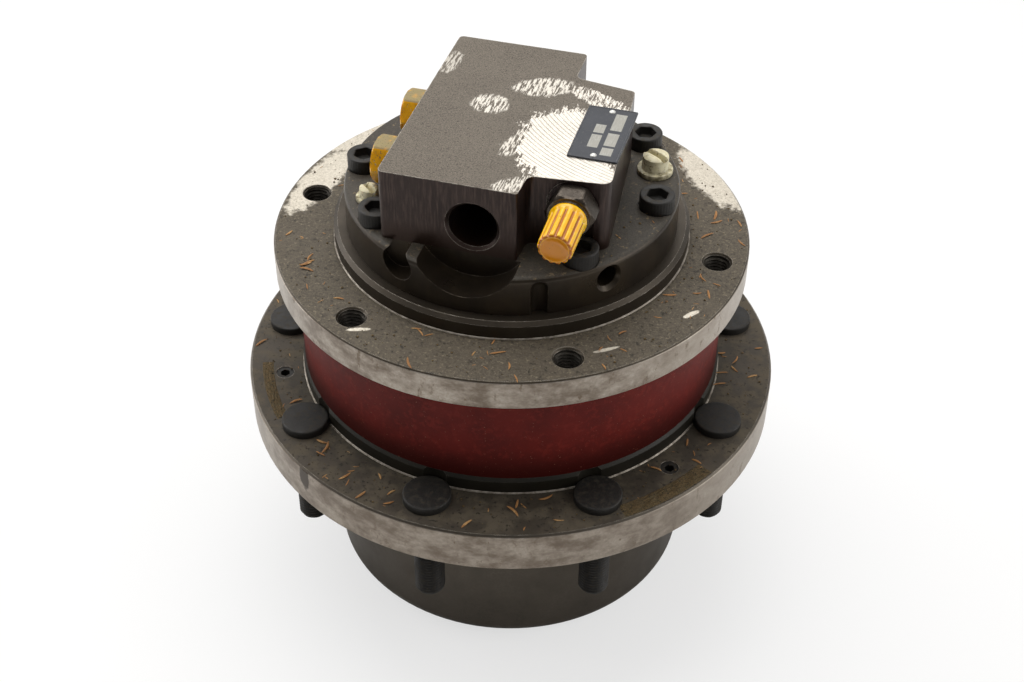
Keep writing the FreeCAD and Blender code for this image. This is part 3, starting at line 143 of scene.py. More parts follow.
def new_finish(name):
    """An empty material, its node tree and the places that its patterns read."""
    material = bpy.data.materials.new(name)
    material.use_nodes = True
    tree = material.node_tree
    tree.nodes.clear()
    place = add(tree, "ShaderNodeTexCoord", out="Object")
    split = add(tree, "ShaderNodeSeparateXYZ", None, {0: place}).node
    flat = add(tree, "ShaderNodeCombineXYZ", None, {0: split.outputs[0], 1: split.outputs[1]})
    radius = add(tree, "ShaderNodeVectorMath", {"operation": "LENGTH"}, {0: flat}, "Value")
    facing = add(tree, "ShaderNodeNewGeometry", out="Normal")
    up = add(tree, "ShaderNodeSeparateXYZ", None, {0: facing}, 2)
    return material, tree, {"place": place, "x": split.outputs[0], "y": split.outputs[1],
                            "z": split.outputs[2], "radius": radius, "up": up}


def between(tree, value, low, high, soft):
    """1 where a value lies from low to high, fading over soft outside each end."""
    rise = add(tree, "ShaderNodeMapRange", {"interpolation_type": "SMOOTHSTEP"},
               {"Value": value, "From Min": low - soft, "From Max": low})
    fall = add(tree, "ShaderNodeMapRange", {"interpolation_type": "SMOOTHSTEP"},
               {"Value": value, "From Min": high, "From Max": high + soft, "To Min": 1.0, "To Max": 0.0})
    return add(tree, "ShaderNodeMath", {"operation": "MULTIPLY"}, {0: rise, 1: fall})


def both(tree, *masks):
    """Product of masks."""
    result = masks[0]
    for mask in masks[1:]:
        result = add(tree, "ShaderNodeMath", {"operation": "MULTIPLY"}, {0: result, 1: mask})
    return result


def blotches(tree, vector, size_mm, share, contrast=0.08, roughness=0.6, stretch=(1.0, 1.0, 1.0)):
    """Irregular spots of a size that cover about a share of the surface, from cloud noise."""
    scaled = add(tree, "ShaderNodeMapping", None, {"Vector": vector, "Scale": stretch})
    cloud = add(tree, "ShaderNodeTexNoise", None,
                {"Vector": scaled, "Scale": 1.0 / (size_mm * MM), "Detail": 4.0, "Roughness": roughness})
    middle = 0.5 + (0.5 - share) * 0.42
    return add(tree, "ShaderNodeMapRange", {"interpolation_type": "SMOOTHSTEP"},
               {"Value": cloud, "From Min": middle - contrast, "From Max": middle + contrast})


def spot_mask(tree, place, centre, half_sizes, turn_degrees=0.0, ragged=0.35, grain_mm=6.0):
    """1 inside an ellipse round a centre, millimetres in the drive's frame, with a ragged edge."""
    moved = add(tree, "ShaderNodeMapping", {"vector_type": "TEXTURE"},
                {"Vector": place, "Location": [c * MM for c in centre],
                 "Rotation": (0.0, 0.0, math.radians(turn_degrees)),
                 "Scale": [h * MM for h in half_sizes]})
    distance = add(tree, "ShaderNodeVectorMath", {"operation": "LENGTH"}, {0: moved}, "Value")
    noise = add(tree, "ShaderNodeTexNoise", None,
                {"Vector": place, "Scale": 1.0 / (grain_mm * MM), "Detail": 5.0, "Roughness": 0.7})
    shaken = add(tree, "ShaderNodeMath", {"operation": "MULTIPLY_ADD"},
                 {0: noise, 1: 2.0 * ragged, 2: distance})
    return add(tree, "ShaderNodeMapRange", {"interpolation_type": "SMOOTHSTEP"},
               {"Value": shaken, "From Min": 0.85 + ragged, "From Max": 1.1 + ragged,
                "To Min": 1.0, "To Max": 0.0})


def spot_masks(tree, place, rows):
    """Several spots in one mask; each row gives a cover and what spot_mask takes."""
    return layered(tree, 0.0, *((spot_mask(tree, place, *row), cover) for cover, *row in rows))


def grain(tree, vector, size_mm, detail=3.0, roughness=0.5):
    """Plain cloud noise of a size, for relief."""
    return add(tree, "ShaderNodeTexNoise", None,
               {"Vector": vector, "Scale": 1.0 / (size_mm * MM), "Detail": detail, "Roughness": roughness})


def worn_edges(tree, place, width_mm, keep=0.5):
    """1 on sharp edges, where a rounded normal leans off the face's own, broken up along their length."""
    flat = add(tree, "ShaderNodeNewGeometry", out="Normal")
    rounded = add(tree, "ShaderNodeBevel", {"samples": 6}, {"Radius": width_mm * MM})
    lean = add(tree, "ShaderNodeVectorMath", {"operation": "DOT_PRODUCT"}, {0: flat, 1: rounded}, "Value")
    edge = add(tree, "ShaderNodeMapRange", {"interpolation_type": "SMOOTHSTEP"},
               {"Value": lean, "From Min": 0.80, "From Max": 0.985, "To Min": 1.0, "To Max": 0.0})
    return both(tree, edge, blotches(tree, place, 4.0, keep, 0.16))


def turned_lines(tree, values, pitch_mm):
    """Height of fine tool marks: a sine of one distance, repeated at the feed's pitch.

    The real feed is 0.1 to 0.3 mm; it is drawn 0.5 to 2.2 mm wide, since finer lines would shimmer.
    """
    wave = add(tree, "ShaderNodeMath", {"operation": "MULTIPLY"},
               {0: values, 1: 2.0 * math.pi / (pitch_mm * MM)})
    return add(tree, "ShaderNodeMath", {"operation": "SINE"}, {0: wave})


def layered(tree, ground, *coats):
    """Lays coats over a ground; each coat is a cover from 0 to 1 and a colour or a number."""
    kind = ground.type if isinstance(ground, bpy.types.NodeSocket) else \
        "VALUE" if isinstance(ground, (int, float)) else "RGBA"
    data, first, out = ("FLOAT", 2, 0) if kind == "VALUE" else ("RGBA", 6, 2)
    for cover, look in coats:
        ground = add(tree, "ShaderNodeMix", {"data_type": data},
                     {0: cover, first: ground, first + 1: look}, out)
    return ground


def close_finish(material, tree, looks, relief=None, depth_mm=0.1, round_mm=0.0):
    """Joins the looks to the shader, with relief as bump and optionally rounded edges."""
    inputs = dict(looks)
    normal = None
    if round_mm:
        normal = add(tree, "ShaderNodeBevel", {"samples": 4}, {"Radius": round_mm * MM})
    if relief is not None:
        bump = {"Height": relief, "Distance": depth_mm * MM, "Strength": 1.0}
        if normal is not None:
            bump["Normal"] = normal
        normal = add(tree, "ShaderNodeBump", None, bump)
    if normal is not None:
        inputs["Normal"] = normal
    shader = add(tree, "ShaderNodeBsdfPrincipled", None, inputs)
    add(tree, "ShaderNodeOutputMaterial", None, {"Surface": shader})
    return material


# ---------------------------------------------------------------- finishes
def primed_and_turned_iron():
    """Ductile iron hub: turned drum and flange left bare and oiled, band sprayed with red primer.

    The eye sees a deep brick red satin band, a dull brown dusty flange top, and paler rubbed rims.
    """
    material, tree, at = new_finish("primed_and_turned_iron")
    colours = bpy.context.scene.drive_colours
    place, z, radius = at["place"], at["z"], at["radius"]
    band = both(tree, between(tree, z, STEP_TOP + 0.2 * MM, HUB_TOP, 0.25 * MM),
                between(tree, radius, 100 * MM, BAND_RADIUS + 0.6 * MM, 0.2 * MM))
    step = both(tree, between(tree, z, FLANGE_TOP + 0.1 * MM, STEP_TOP, 0.25 * MM),
                between(tree, radius, 100 * MM, STEP_RADIUS + 0.4 * MM, 0.2 * MM))
    top = both(tree, between(tree, z, FLANGE_TOP - 0.3 * MM, FLANGE_TOP + 0.3 * MM, 0.1 * MM),
               between(tree, at["up"], 0.8, 1.1, 0.1))
    rim = between(tree, radius, FLANGE_RADIUS - 0.25 * MM, FLANGE_RADIUS + 1 * MM, 0.1 * MM)
    under = between(tree, z, -1 * MM, FLANGE_LOW + 0.3 * MM, 0.1 * MM)
    # Mask towards the front, used for painted shade on the rim
    front_shade = between(tree, at["y"], -1.0, -120 * MM, 60 * MM)
    cloud = blotches(tree, place, 26.0, 0.5, 0.2)
    fine = blotches(tree, place, 1.3, 0.5, 0.25)
    dust = blotches(tree, place, 9.0, 0.42, 0.12)
    streak = blotches(tree, place, 16.0, 0.45, 0.2, 0.7, (1.0, 1.0, 1.6))
    iron = layered(tree, linear("5d564d"), (cloud, linear("4a443c")), (fine, linear("544d44")))
    grime = layered(tree, linear("4a4237"), (cloud, linear("3b3429")), (dust, linear("5c5344")),
                    (blotches(tree, place, 2.2, 0.2, 0.05), linear("2d2820")))
    # Rim colour: pale from wear, with darker streaks at the front that are painted shade
    rubbed = layered(tree, linear("a79d91"), (streak, linear("857a6e")),
                     (blotches(tree, place, 5.0, 0.22, 0.06, 0.7, (1, 1, 0.5)), linear("6b5c4c")),
                     (fine, linear("978d81")), (both(tree, front_shade, streak), linear("6e6256")))
    primer = layered(tree, tuple(colours.primer), (cloud, linear("520d06")),
                     (blotches(tree, place, 3.5, 0.3, 0.1), linear("6d1a11")),
                     # Darker towards the band's foot above the step: painted shade and painted reflection of
                     # the dark flange
                     (between(tree, z, STEP_TOP - 1 * MM, STEP_TOP + 3 * MM, 18 * MM), linear("3c0602")),
                     (blotches(tree, place, 1.0, 0.05, 0.02), linear("8b5a48")))
    # Step wall: dark bare iron, painted near black with painted shade and a painted reflection of the dark
    # flange top
    dark_iron_and_shade = layered(tree, linear("2c2820"), (cloud, linear("1f1d16")))
    nick = spot_mask(tree, place, (-77, -125, 126), (9, 4, 9), 40)
    colour = layered(tree, iron, (top, grime), (rim, rubbed), (step, dark_iron_and_shade), (band, primer),
                     (both(tree, nick, rim), linear("3f352b")),
                     (both(tree, worn_edges(tree, place, 0.9), layered(tree, 1.0, (band, 0.0))),
                      linear("b9b0a4")))
    metal = layered(tree, 0.75, (top, 0.25), (rim, 0.8), (step, 0.3), (band, 0.0))
    rough = layered(tree, 0.34, (cloud, 0.42), (top, 0.62), (rim, 0.38), (step, 0.4), (band, 0.5),
                    (both(tree, dust, top), 0.8))
    sheen = layered(tree, 0.5, (band, 0.16))
    marks = layered(tree, 0.0, (top, turned_lines(tree, radius, 0.6)), (rim, turned_lines(tree, z, 0.9)),
                    (under, turned_lines(tree, z, 1.1)))
    lumps = grain(tree, place, 2.4)
    height = add(tree, "ShaderNodeMath", {"operation": "MULTIPLY_ADD"},
                 {0: marks, 1: 0.12, 2: layered(tree, 0.0, (band, lumps), (top, lumps))})
    return close_finish(material, tree, {"Base Color": colour, "Metallic": metal, "Roughness": rough,
                                         "Specular IOR Level": sheen}, height, 0.05, 0.5)


def turned_housing_iron():
    """Ductile iron housing, turned and oiled, then handled.

    The eye sees a brown, gritty flange face with pale areas behind, bare metal painted near white as painted
    reflection, and a pale stained rim.
    """
    material, tree, at = new_finish("turned_housing_iron")
    place, z, radius = at["place"], at["z"], at["radius"]
    face = both(tree, between(tree, z, FRAME_FACE - 0.3 * MM, FRAME_FACE + 0.3 * MM, 0.1 * MM),
                between(tree, radius, PILOT_RADIUS, FRAME_RADIUS, 0.3 * MM))
    rim = both(tree, between(tree, radius, FRAME_RADIUS - 0.25 * MM, FRAME_RADIUS + 1 * MM, 0.1 * MM),
               between(tree, z, FRAME_LOW, FRAME_FACE + 1 * MM, 0.1 * MM))
    pilot = both(tree, between(tree, z, FRAME_FACE + 0.2 * MM, 300 * MM, 0.2 * MM),
                 between(tree, radius, 60 * MM, PILOT_RADIUS + 1 * MM, 0.2 * MM))
    cloud = blotches(tree, place, 30.0, 0.5, 0.2)
    fine = blotches(tree, place, 1.0, 0.45, 0.2)
    crumbs = blotches(tree, place, 1.8, 0.22, 0.05, 0.75)
    dark_spots = blotches(tree, place, 3.2, 0.25, 0.06, 0.7)
    streak = blotches(tree, place, 16.0, 0.45, 0.2, 0.7, (1.0, 1.0, 1.6))
    grime = layered(tree, linear("544b3f"), (cloud, linear("423a2f")), (fine, linear("605747")),
                    (dark_spots, linear("302a21")), (crumbs, linear("7a6f5c")))
    # Bare metal painted near white: partly painted reflection of the lamps
    bare = layered(tree, linear("d2cabb"), (fine, linear("b5ac9c")),
                   (blotches(tree, place, 1.6, 0.18, 0.05, 0.75), linear("7a7060")))
    # Mask towards the front, used for painted shade on the rim
    front_shade = between(tree, at["y"], -1.0, -105 * MM, 50 * MM)
    # Rim colour: pale from wear, with darker streaks at the front that are painted shade
    rubbed = layered(tree, linear("b0a79c"), (streak, linear("8e8376")), (fine, linear("9f9589")),
                     (blotches(tree, place, 6.0, 0.2, 0.06, 0.7, (1, 1, 0.5)), linear("6f604f")),
                     (both(tree, front_shade, streak), linear("6e6256")))
    steel = layered(tree, linear("4c443a"), (cloud, linear("3a332a")))
    # Four areas rubbed bare round the back of the face, painted near white as painted reflection of the
    # lamps, then three scratches in front
    clear = spot_masks(tree, place, (
        (1.0, (93, 76, 214), (13, 34, 10), 38, 0.5, 5.0), (1.0, (-112, 12, 214), (10, 34, 10), -8, 0.5, 5.0),
        (1.0, (-99, 66, 214), (9, 34, 10), -38, 0.5, 5.0), (1.0, (20, 119, 214), (70, 9, 10), 0, 0.5, 5.0),
        (1.0, (71, -84, 214), (7, 1.2, 10), 35, 0.5, 3.0), (1.0, (105, -46, 214), (5, 1.5, 10), 50, 0.5, 3.0),
        (1.0, (-48, -103, 214), (6, 1.3, 10), 20, 0.5, 3.0)))
    colour = layered(tree, steel, (face, grime), (both(tree, face, clear), bare), (rim, rubbed),
                     (both(tree, pilot, cloud), linear("403930")),
                     (worn_edges(tree, place, 0.8, 0.6), linear("c3bbaf")))
    metal = layered(tree, 0.7, (face, 0.2), (both(tree, face, clear), 0.75), (rim, 0.8))
    rough = layered(tree, 0.32, (face, 0.7), (both(tree, face, clear), 0.42), (rim, 0.36),
                    (both(tree, pilot, fine), 0.45))
    marks = layered(tree, 0.0, (face, turned_lines(tree, radius, 0.5)), (rim, turned_lines(tree, z, 1.0)))
    lumps = grain(tree, place, 1.5, 4.0)
    height = add(tree, "ShaderNodeMath", {"operation": "MULTIPLY_ADD"},
                 {0: marks, 1: 0.1, 2: layered(tree, 0.0, (face, lumps))})
    return close_finish(material, tree, {"Base Color": colour, "Metallic": metal, "Roughness": rough},
                        height, 0.07, 0.45)


def milled_port_block_iron():
    """Grey iron port block, milled on top and washed dark.

    The eye sees a speckled grey-brown top with near-white milled and scraped areas, and darker, glossier
    sides that were dragged by the saw.
    """
    material, tree, at = new_finish("milled_port_block_iron")
    place, z = at["place"], at["z"]
    top = between(tree, z, BLOCK_TOP - 0.2 * MM, BLOCK_TOP + 1 * MM, 0.05 * MM)
    block = between(tree, z, DECK + 0.4 * MM, BLOCK_TOP + 1 * MM, 0.3 * MM)
    deck = both(tree, between(tree, z, DECK - 1.2 * MM, DECK + 0.3 * MM, 0.1 * MM),
                between(tree, at["up"], 0.7, 1.1, 0.1))
    cloud = blotches(tree, place, 24.0, 0.5, 0.2)
    fine = blotches(tree, place, 0.9, 0.5, 0.22, 0.75)
    dark_spots = blotches(tree, place, 0.8, 0.34, 0.06, 0.9)
    pale_spots = blotches(tree, place, 0.7, 0.16, 0.04, 0.9)
    speckle = blotches(tree, place, 0.75, 0.5, 0.12, 0.85)
    grime = layered(tree, linear("645c51"), (cloud, linear("585046")), (speckle, linear("7b7266")),
                    (dark_spots, linear("3b342c")), (pale_spots, linear("a79c8d")))
    # Bright metal left by the last cutter pass round the nameplate
    milled = spot_masks(tree, place, (
        (1.0, (33, -22, 285), (24, 34, 10), 12, 0.45, 7.0), (1.0, (48, -46, 285), (24, 11, 10), 4, 0.4, 6.0),
        (0.8, (40, 22, 285), (20, 6, 10), -25, 0.6, 4.0)))
    drawn = add(tree, "ShaderNodeMapping", None,
                {"Vector": place, "Rotation": (0, 0, math.radians(-62)), "Scale": (1.0, 0.16, 1.0)})
    scrapes = grain(tree, drawn, 1.1, 3.0, 0.7)
    scraped = add(tree, "ShaderNodeMapRange", {"interpolation_type": "SMOOTHSTEP"},
                  {"Value": scrapes, "From Min": 0.46, "From Max": 0.54})
    # Scraped spots behind the middle, then at the front notch, the left edge and the milled area's edge
    rubbed_spots = spot_masks(tree, place, (
        (1.0, (-13, 4, 285), (10, 9, 10), 0, 0.35, 5.0), (1.0, (9, 27, 285), (16, 9, 10), 20, 0.4, 5.0),
        (0.9, (18, -62, 285), (12, 6, 10), 30, 0.5, 4.0), (0.7, (-44, 38, 285), (5, 12, 10), 0, 0.5, 4.0),
        (0.9, (12, -22, 285), (7, 18, 10), -20, 0.5, 4.0)))
    rubbed = both(tree, rubbed_spots, scraped)
    frayed = add(tree, "ShaderNodeMath", {"operation": "MULTIPLY_ADD"}, {0: milled, 1: 1.3, 2: scraped})
    milled_ragged = add(tree, "ShaderNodeMapRange", {"interpolation_type": "SMOOTHSTEP"},
                        {"Value": frayed, "From Min": 1.0, "From Max": 1.35})
    centre = add(tree, "ShaderNodeMapping", {"vector_type": "POINT"},
                 {"Vector": place, "Location": (-95 * MM, -62 * MM, 0.0)})
    sweep = add(tree, "ShaderNodeVectorMath", {"operation": "LENGTH"},
                {0: add(tree, "ShaderNodeCombineXYZ", None,
                        {0: add(tree, "ShaderNodeSeparateXYZ", None, {0: centre}, 0),
                         1: add(tree, "ShaderNodeSeparateXYZ", None, {0: centre}, 1)})}, "Value")
    cutter = turned_lines(tree, sweep, 2.2)
    cutter_mask = add(tree, "ShaderNodeMapRange", {"interpolation_type": "SMOOTHSTEP"},
                      {"Value": cutter, "From Min": 0.2, "From Max": 1.0})
    bright = layered(tree, linear("e4ddd3"), (fine, linear("d2cabd")),
                     (both(tree, cutter_mask, blotches(tree, place, 12.0, 0.6, 0.1)), linear("bdb5a8")))
    wall = layered(tree, linear("40372b"), (cloud, linear("302820")),
                   (blotches(tree, place, 20.0, 0.35, 0.1, 0.6, (1, 1, 0.3)), linear("2f2820")))
    side = layered(tree, linear("372b27"), (cloud, linear("2b201d")),
                   (blotches(tree, place, 1.2, 0.35, 0.15, 0.6, (1, 1, 0.1)), linear("463833")),
                   (between(tree, z, 0, DECK + 4 * MM, 10 * MM), linear("33241d")))
    floor = layered(tree, linear("3a342b"), (cloud, linear("2f2a22")), (fine, linear("474035")),
                    (dark_spots, linear("242019")),
                    (blotches(tree, place, 2.5, 0.18, 0.05), linear("6b5c44")))
    colour = layered(tree, wall, (deck, floor), (block, side), (top, grime),
                     (both(tree, top, rubbed), linear("d6cfc3")), (both(tree, top, milled_ragged), bright),
                     (both(tree, worn_edges(tree, place, 0.9, 0.62), block), linear("c9c1b4")),
                     (both(tree, worn_edges(tree, place, 0.7, 0.3), layered(tree, 1.0, (block, 0.0))),
                      linear("7d7264")))
    shiny = both(tree, top, layered(tree, 0.0, (rubbed, 1.0), (milled_ragged, 1.0)))
    metal = layered(tree, 0.6, (deck, 0.1), (block, 0.55), (top, 0.25), (shiny, 0.7))
    rough = layered(tree, 0.27, (cloud, 0.34), (deck, 0.62), (block, 0.33), (top, 0.72), (shiny, 0.45))
    dragged = add(tree, "ShaderNodeMapping", None, {"Vector": place, "Scale": (1, 1, 0.05)})
    drag = grain(tree, dragged, 1.2, 2.0)
    lumps = grain(tree, place, 1.0, 4.0, 0.7)
    height = layered(tree, 0.5, (block, drag), (deck, lumps), (top, lumps),
                     (both(tree, top, milled), cutter_mask))
    return close_finish(material, tree, {"Base Color": colour, "Metallic": metal, "Roughness": rough},
                        height, 0.12, 0.5)


def cast_and_turned_cover_iron():
    """Grey iron end cover, turned on its outer face and oily: even dark grey with a dull shine."""
    material, tree, at = new_finish("cast_and_turned_cover_iron")
    cloud = blotches(tree, at["place"], 22.0, 0.5, 0.2)
    fine = blotches(tree, at["place"], 1.2, 0.4, 0.2)
    colour = layered(tree, linear("59524a"), (cloud, linear("464038")), (fine, linear("6a6257")),
                     (worn_edges(tree, at["place"], 0.8), linear("a9a094")))
    rough = layered(tree, 0.4, (cloud, 0.5), (fine, 0.55))
    height = turned_lines(tree, at["radius"], 1.0)
    return close_finish(material, tree, {"Base Color": colour, "Metallic": 0.7, "Roughness": rough},
                        height, 0.01, 0.4)


def blackened_steel():
    """Quenched alloy steel with a phosphate skin: dull near-black with dust in its scratches."""
    material, tree, at = new_finish("blackened_steel")
    colours = bpy.context.scene.drive_colours
    cloud = blotches(tree, at["place"], 8.0, 0.5, 0.2)
    fine = blotches(tree, at["place"], 0.7, 0.35, 0.15, 0.75)
    dusty = both(tree, between(tree, at["up"], 0.7, 1.1, 0.2), blotches(tree, at["place"], 2.4, 0.3, 0.12))
    colour = layered(tree, tuple(colours.black_steel), (cloud, linear("1a1815")), (fine, linear("2b2824")),
                     (dusty, linear("3a342b")), (worn_edges(tree, at["place"], 0.35, 0.35), linear("5a544c")))
    rough = layered(tree, 0.5, (cloud, 0.6), (dusty, 0.8))
    lumps = grain(tree, at["place"], 0.6)
    return close_finish(material, tree, {"Base Color": colour, "Metallic": 0.2, "Roughness": rough},
                        lumps, 0.03, 0.25)


def moulded_yellow_plastic():
    """Injection-moulded polyethylene cap, translucent amber yellow with a wet-looking gloss."""
    material, tree, at = new_finish("moulded_yellow_plastic")
    colours = bpy.context.scene.drive_colours
    cloud = blotches(tree, at["place"], 5.0, 0.5, 0.25)
    axis_offset = add(tree, "ShaderNodeMapping", None,
                      {"Vector": at["place"], "Location": (-CAP_AXIS[0], 0.0, -CAP_AXIS[1]),
                       "Scale": (1, 0, 1)})
    reach = add(tree, "ShaderNodeVectorMath", {"operation": "LENGTH"}, {0: axis_offset}, "Value")
    # The grooves between the ribs and the end face are painted a deeper orange: painted shade
    groove = between(tree, reach, 7.2 * MM, 7.95 * MM, 0.35 * MM)
    end = between(tree, reach, -1.0, 6.6 * MM, 0.4 * MM)
    colour = layered(tree, tuple(colours.cap), (cloud, linear("f0c010")), (groove, linear("b06400")),
                     (end, linear("dc8a00")), (blotches(tree, at["place"], 1.2, 0.1, 0.04), linear("a86c08")))
    rough = layered(tree, 0.14, (cloud, 0.22))
    return close_finish(material, tree,
                        {"Base Color": colour, "Metallic": 0.0, "Roughness": rough,
                         "Subsurface Weight": 0.1, "Subsurface Radius": (1.0, 0.45, 0.06),
                         "Subsurface Scale": 2.0 * MM, "Coat Weight": 0.2, "Coat Roughness": 0.08},
                        cloud, 0.03)


def soiled_yellow_plastic():
    """The same moulded plugs where dust and oil settled on their upper sides."""
    material, tree, at = new_finish("soiled_yellow_plastic")
    cloud = blotches(tree, at["place"], 5.0, 0.5, 0.25)
    soil = layered(tree, both(tree, between(tree, at["up"], 0.75, 1.1, 0.15),
                              blotches(tree, at["place"], 7.0, 0.8, 0.1)),
                   (blotches(tree, at["place"], 2.5, 0.15, 0.06), 1.0))
    colour = layered(tree, linear("e3a712"), (cloud, linear("c98b0c")), (soil, linear("94845a")),
                     (blotches(tree, at["place"], 1.0, 0.2, 0.06), linear("6a5b3d")))
    rough = layered(tree, 0.22, (soil, 0.7))
    return close_finish(material, tree,
                        {"Base Color": colour, "Metallic": 0.0, "Roughness": rough,
                         "Subsurface Weight": 0.2, "Subsurface Radius": (1.0, 0.45, 0.06),
                         "Subsurface Scale": 3.0 * MM},
                        soil, 0.08)


def soiled_cream_plastic():
    """Moulded cream polyethylene plug, matt, with oily dirt in its slot, and darker round its foot."""
    material, tree, at = new_finish("soiled_cream_plastic")
    cloud = blotches(tree, at["place"], 4.0, 0.5, 0.2)
    soil = blotches(tree, at["place"], 3.0, 0.3, 0.08, 0.7)
    # Darker round the foot, near the deck
    low = between(tree, at["z"], 0.0, DECK + 1.5 * MM, 4.0 * MM)
    colour = layered(tree, linear("ddd5b4"), (cloud, linear("cdc39f")), (soil, linear("8d8263")),
                     (both(tree, low, cloud), linear("6d6348")))
    rough = layered(tree, 0.42, (soil, 0.7))
    return close_finish(material, tree,
                        {"Base Color": colour, "Metallic": 0.0, "Roughness": rough,
                         "Subsurface Weight": 0.15, "Subsurface Radius": (1.0, 0.8, 0.4),
                         "Subsurface Scale": 2.0 * MM},
                        soil, 0.1)


def anodised_plate():
    """Black anodised aluminium plate, blank, with lightly brushed bare fields."""
    material, tree, at = new_finish("anodised_plate")
    lo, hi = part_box("nameplate")
    lo, hi = lo / MM, hi / MM
    width, length = hi.x - lo.x, hi.y - lo.y
    fields = 0.0
    for left, right, low, high in ((0.60, 0.82, 0.10, 0.24), (0.60, 0.82, 0.28, 0.52),
                                   (0.60, 0.82, 0.58, 0.90), (0.30, 0.50, 0.22, 0.46),
                                   (0.30, 0.50, 0.50, 0.66)):
        box = both(tree,
                   between(tree, at["x"], (lo.x + left * width) * MM, (lo.x + right * width) * MM, 0.1 * MM),
                   between(tree, at["y"], (lo.y + low * length) * MM, (lo.y + high * length) * MM, 0.1 * MM))
        fields = layered(tree, fields, (box, 1.0))
    fine = blotches(tree, at["place"], 0.5, 0.5, 0.2, 0.6, (1.0, 0.15, 1.0))
    cloud = blotches(tree, at["place"], 6.0, 0.5, 0.2)
    plate = layered(tree, linear("2b2d33"), (cloud, linear("35373d")),
                    (blotches(tree, at["place"], 1.4, 0.15, 0.06), linear("4b4a48")))
    bare = layered(tree, linear("a8a79f"), (fine, linear("8c8a82")), (cloud, linear("96938a")))
    colour = layered(tree, plate, (fields, bare), (worn_edges(tree, at["place"], 0.3, 0.6), linear("8d8b86")))
    metal = layered(tree, 0.2, (fields, 0.5))
    rough = layered(tree, 0.38, (fields, 0.4), (cloud, 0.45))
    return close_finish(material, tree, {"Base Color": colour, "Metallic": metal, "Roughness": rough},
                        fine, 0.01)


def plain_metal(name, base, shade, metallic, rough, grain_mm, edge):
    """A machined metal part: faint clouds, fine grain and paler corners."""
    material, tree, at = new_finish(name)
    cloud = blotches(tree, at["place"], 12.0, 0.5, 0.2)
    fine = blotches(tree, at["place"], grain_mm, 0.45, 0.2)
    colour = layered(tree, linear(base), (cloud, linear(shade)), (fine, linear(shade)),
                     (worn_edges(tree, at["place"], 0.5), linear(edge)))
    roughness = layered(tree, rough, (fine, min(1.0, rough + 0.12)))
    return close_finish(material, tree, {"Base Color": colour, "Metallic": metallic, "Roughness": roughness},
                        fine, 0.02, 0.3)


def moulded_rubber():
    """Nitrile rubber: near-black, matt, slightly grey where it was touched."""
    material, tree, at = new_finish("moulded_rubber")
    cloud = blotches(tree, at["place"], 6.0, 0.5, 0.2)
    fine = blotches(tree, at["place"], 0.8, 0.4, 0.2)
    colour = layered(tree, linear("1b1b1b"), (cloud, linear("232221")), (fine, linear("2a2927")))
    rough = layered(tree, 0.6, (fine, 0.75))
    return close_finish(material, tree, {"Base Color": colour, "Metallic": 0.0, "Roughness": rough},
                        fine, 0.04)


def split_wood():
    """Slivers from a pallet: straw to tan, matt, darker where they soaked up oil."""
    material, tree, at = new_finish("split_wood")
    each = blotches(tree, at["place"], 14.0, 0.5, 0.05)
    other = blotches(tree, at["place"], 9.0, 0.35, 0.05)
    fibres = blotches(tree, at["place"], 0.5, 0.5, 0.2)
    colour = layered(tree, linear("a9743f"), (each, linear("8a5a30")), (other, linear("cfa76d")),
                     (fibres, linear("9a7144")))
    return close_finish(material, tree, {"Base Color": colour, "Metallic": 0.0, "Roughness": 0.75},
                        fibres, 0.05)


def dry_soil():
    """Dry earth and sawdust stuck to old oil: dull olive brown, crumbly."""
    material, tree, at = new_finish("dry_soil")
    cloud = blotches(tree, at["place"], 4.0, 0.5, 0.2)
    fine = blotches(tree, at["place"], 0.8, 0.4, 0.15, 0.75)
    colour = layered(tree, linear("5a4a2e"), (cloud, linear("47402a")), (fine, linear("7c6440")),
                     (blotches(tree, at["place"], 1.5, 0.2, 0.06), linear("2e281b")))
    return close_finish(material, tree, {"Base Color": colour, "Metallic": 0.0, "Roughness": 0.9},
                        fine, 0.3)


# ---------------------------------------------------------------- surfaces
def shell(rows, first_pole=None, last_pole=None, ring=False):
    """Corners and faces of a surface given as rows of points round a closed loop.

    Each row joins the next; the first and last rows close onto a pole point, or onto each other.
    """
    count, around = rows.shape[:2]
    points = rows.reshape(-1, 3)
    index = np.arange(count * around).reshape(count, around)
    lower = index if ring else index[:-1]
    upper = np.roll(index, -1, axis=0) if ring else index[1:]
    quads = np.stack([lower, np.roll(lower, -1, axis=1), np.roll(upper, -1, axis=1), upper], axis=-1)
    faces = quads.reshape(-1, 4).tolist()
    for pole, row, turned in ((first_pole, index[0], True), (last_pole, index[-1], False)):
        if pole is None:
            continue
        tip = np.full(around, len(points))
        points = np.vstack([points, np.asarray(pole, float)[None, :]])
        fan = [np.roll(row, -1), row, tip] if turned else [row, np.roll(row, -1), tip]
        faces += np.stack(fan, axis=-1).tolist()
    return outward(points, faces)


def outward(points, faces):
    """Turns a closed surface right side out: its enclosed volume has to be positive."""
    volume = 0.0
    for sides in (3, 4):
        some = np.array([f for f in faces if len(f) == sides], int).reshape(-1, sides)
        for step in range(1, sides - 1):
            a, b, c = points[some[:, 0]], points[some[:, step]], points[some[:, step + 1]]
            volume += np.einsum("ij,ij->i", a, np.cross(b, c)).sum()
    return (points, faces) if volume > 0 else (points, [f[::-1] for f in faces])


def repeated(part, placements):
    """The same surface at several 4 by 4 placements, as one list of corners and faces."""
    points, faces = part
    stack = np.stack([np.array(m) for m in placements])
    full = np.hstack([points, np.ones((len(points), 1))])
    moved = np.einsum("nij,kj->nki", stack, full)[..., :3].reshape(-1, 3)
    copies = [[corner + number * len(points) for corner in face]
              for number in range(len(placements)) for face in faces]
    return moved, copies


def joined(parts):
    """Several surfaces as one list of corners and faces."""
    points, faces, base = [], [], 0
    for corners, sides in parts:
        points.append(corners)
        faces += [[corner + base for corner in face] for face in sides]
        base += len(corners)
    return np.vstack(points), faces


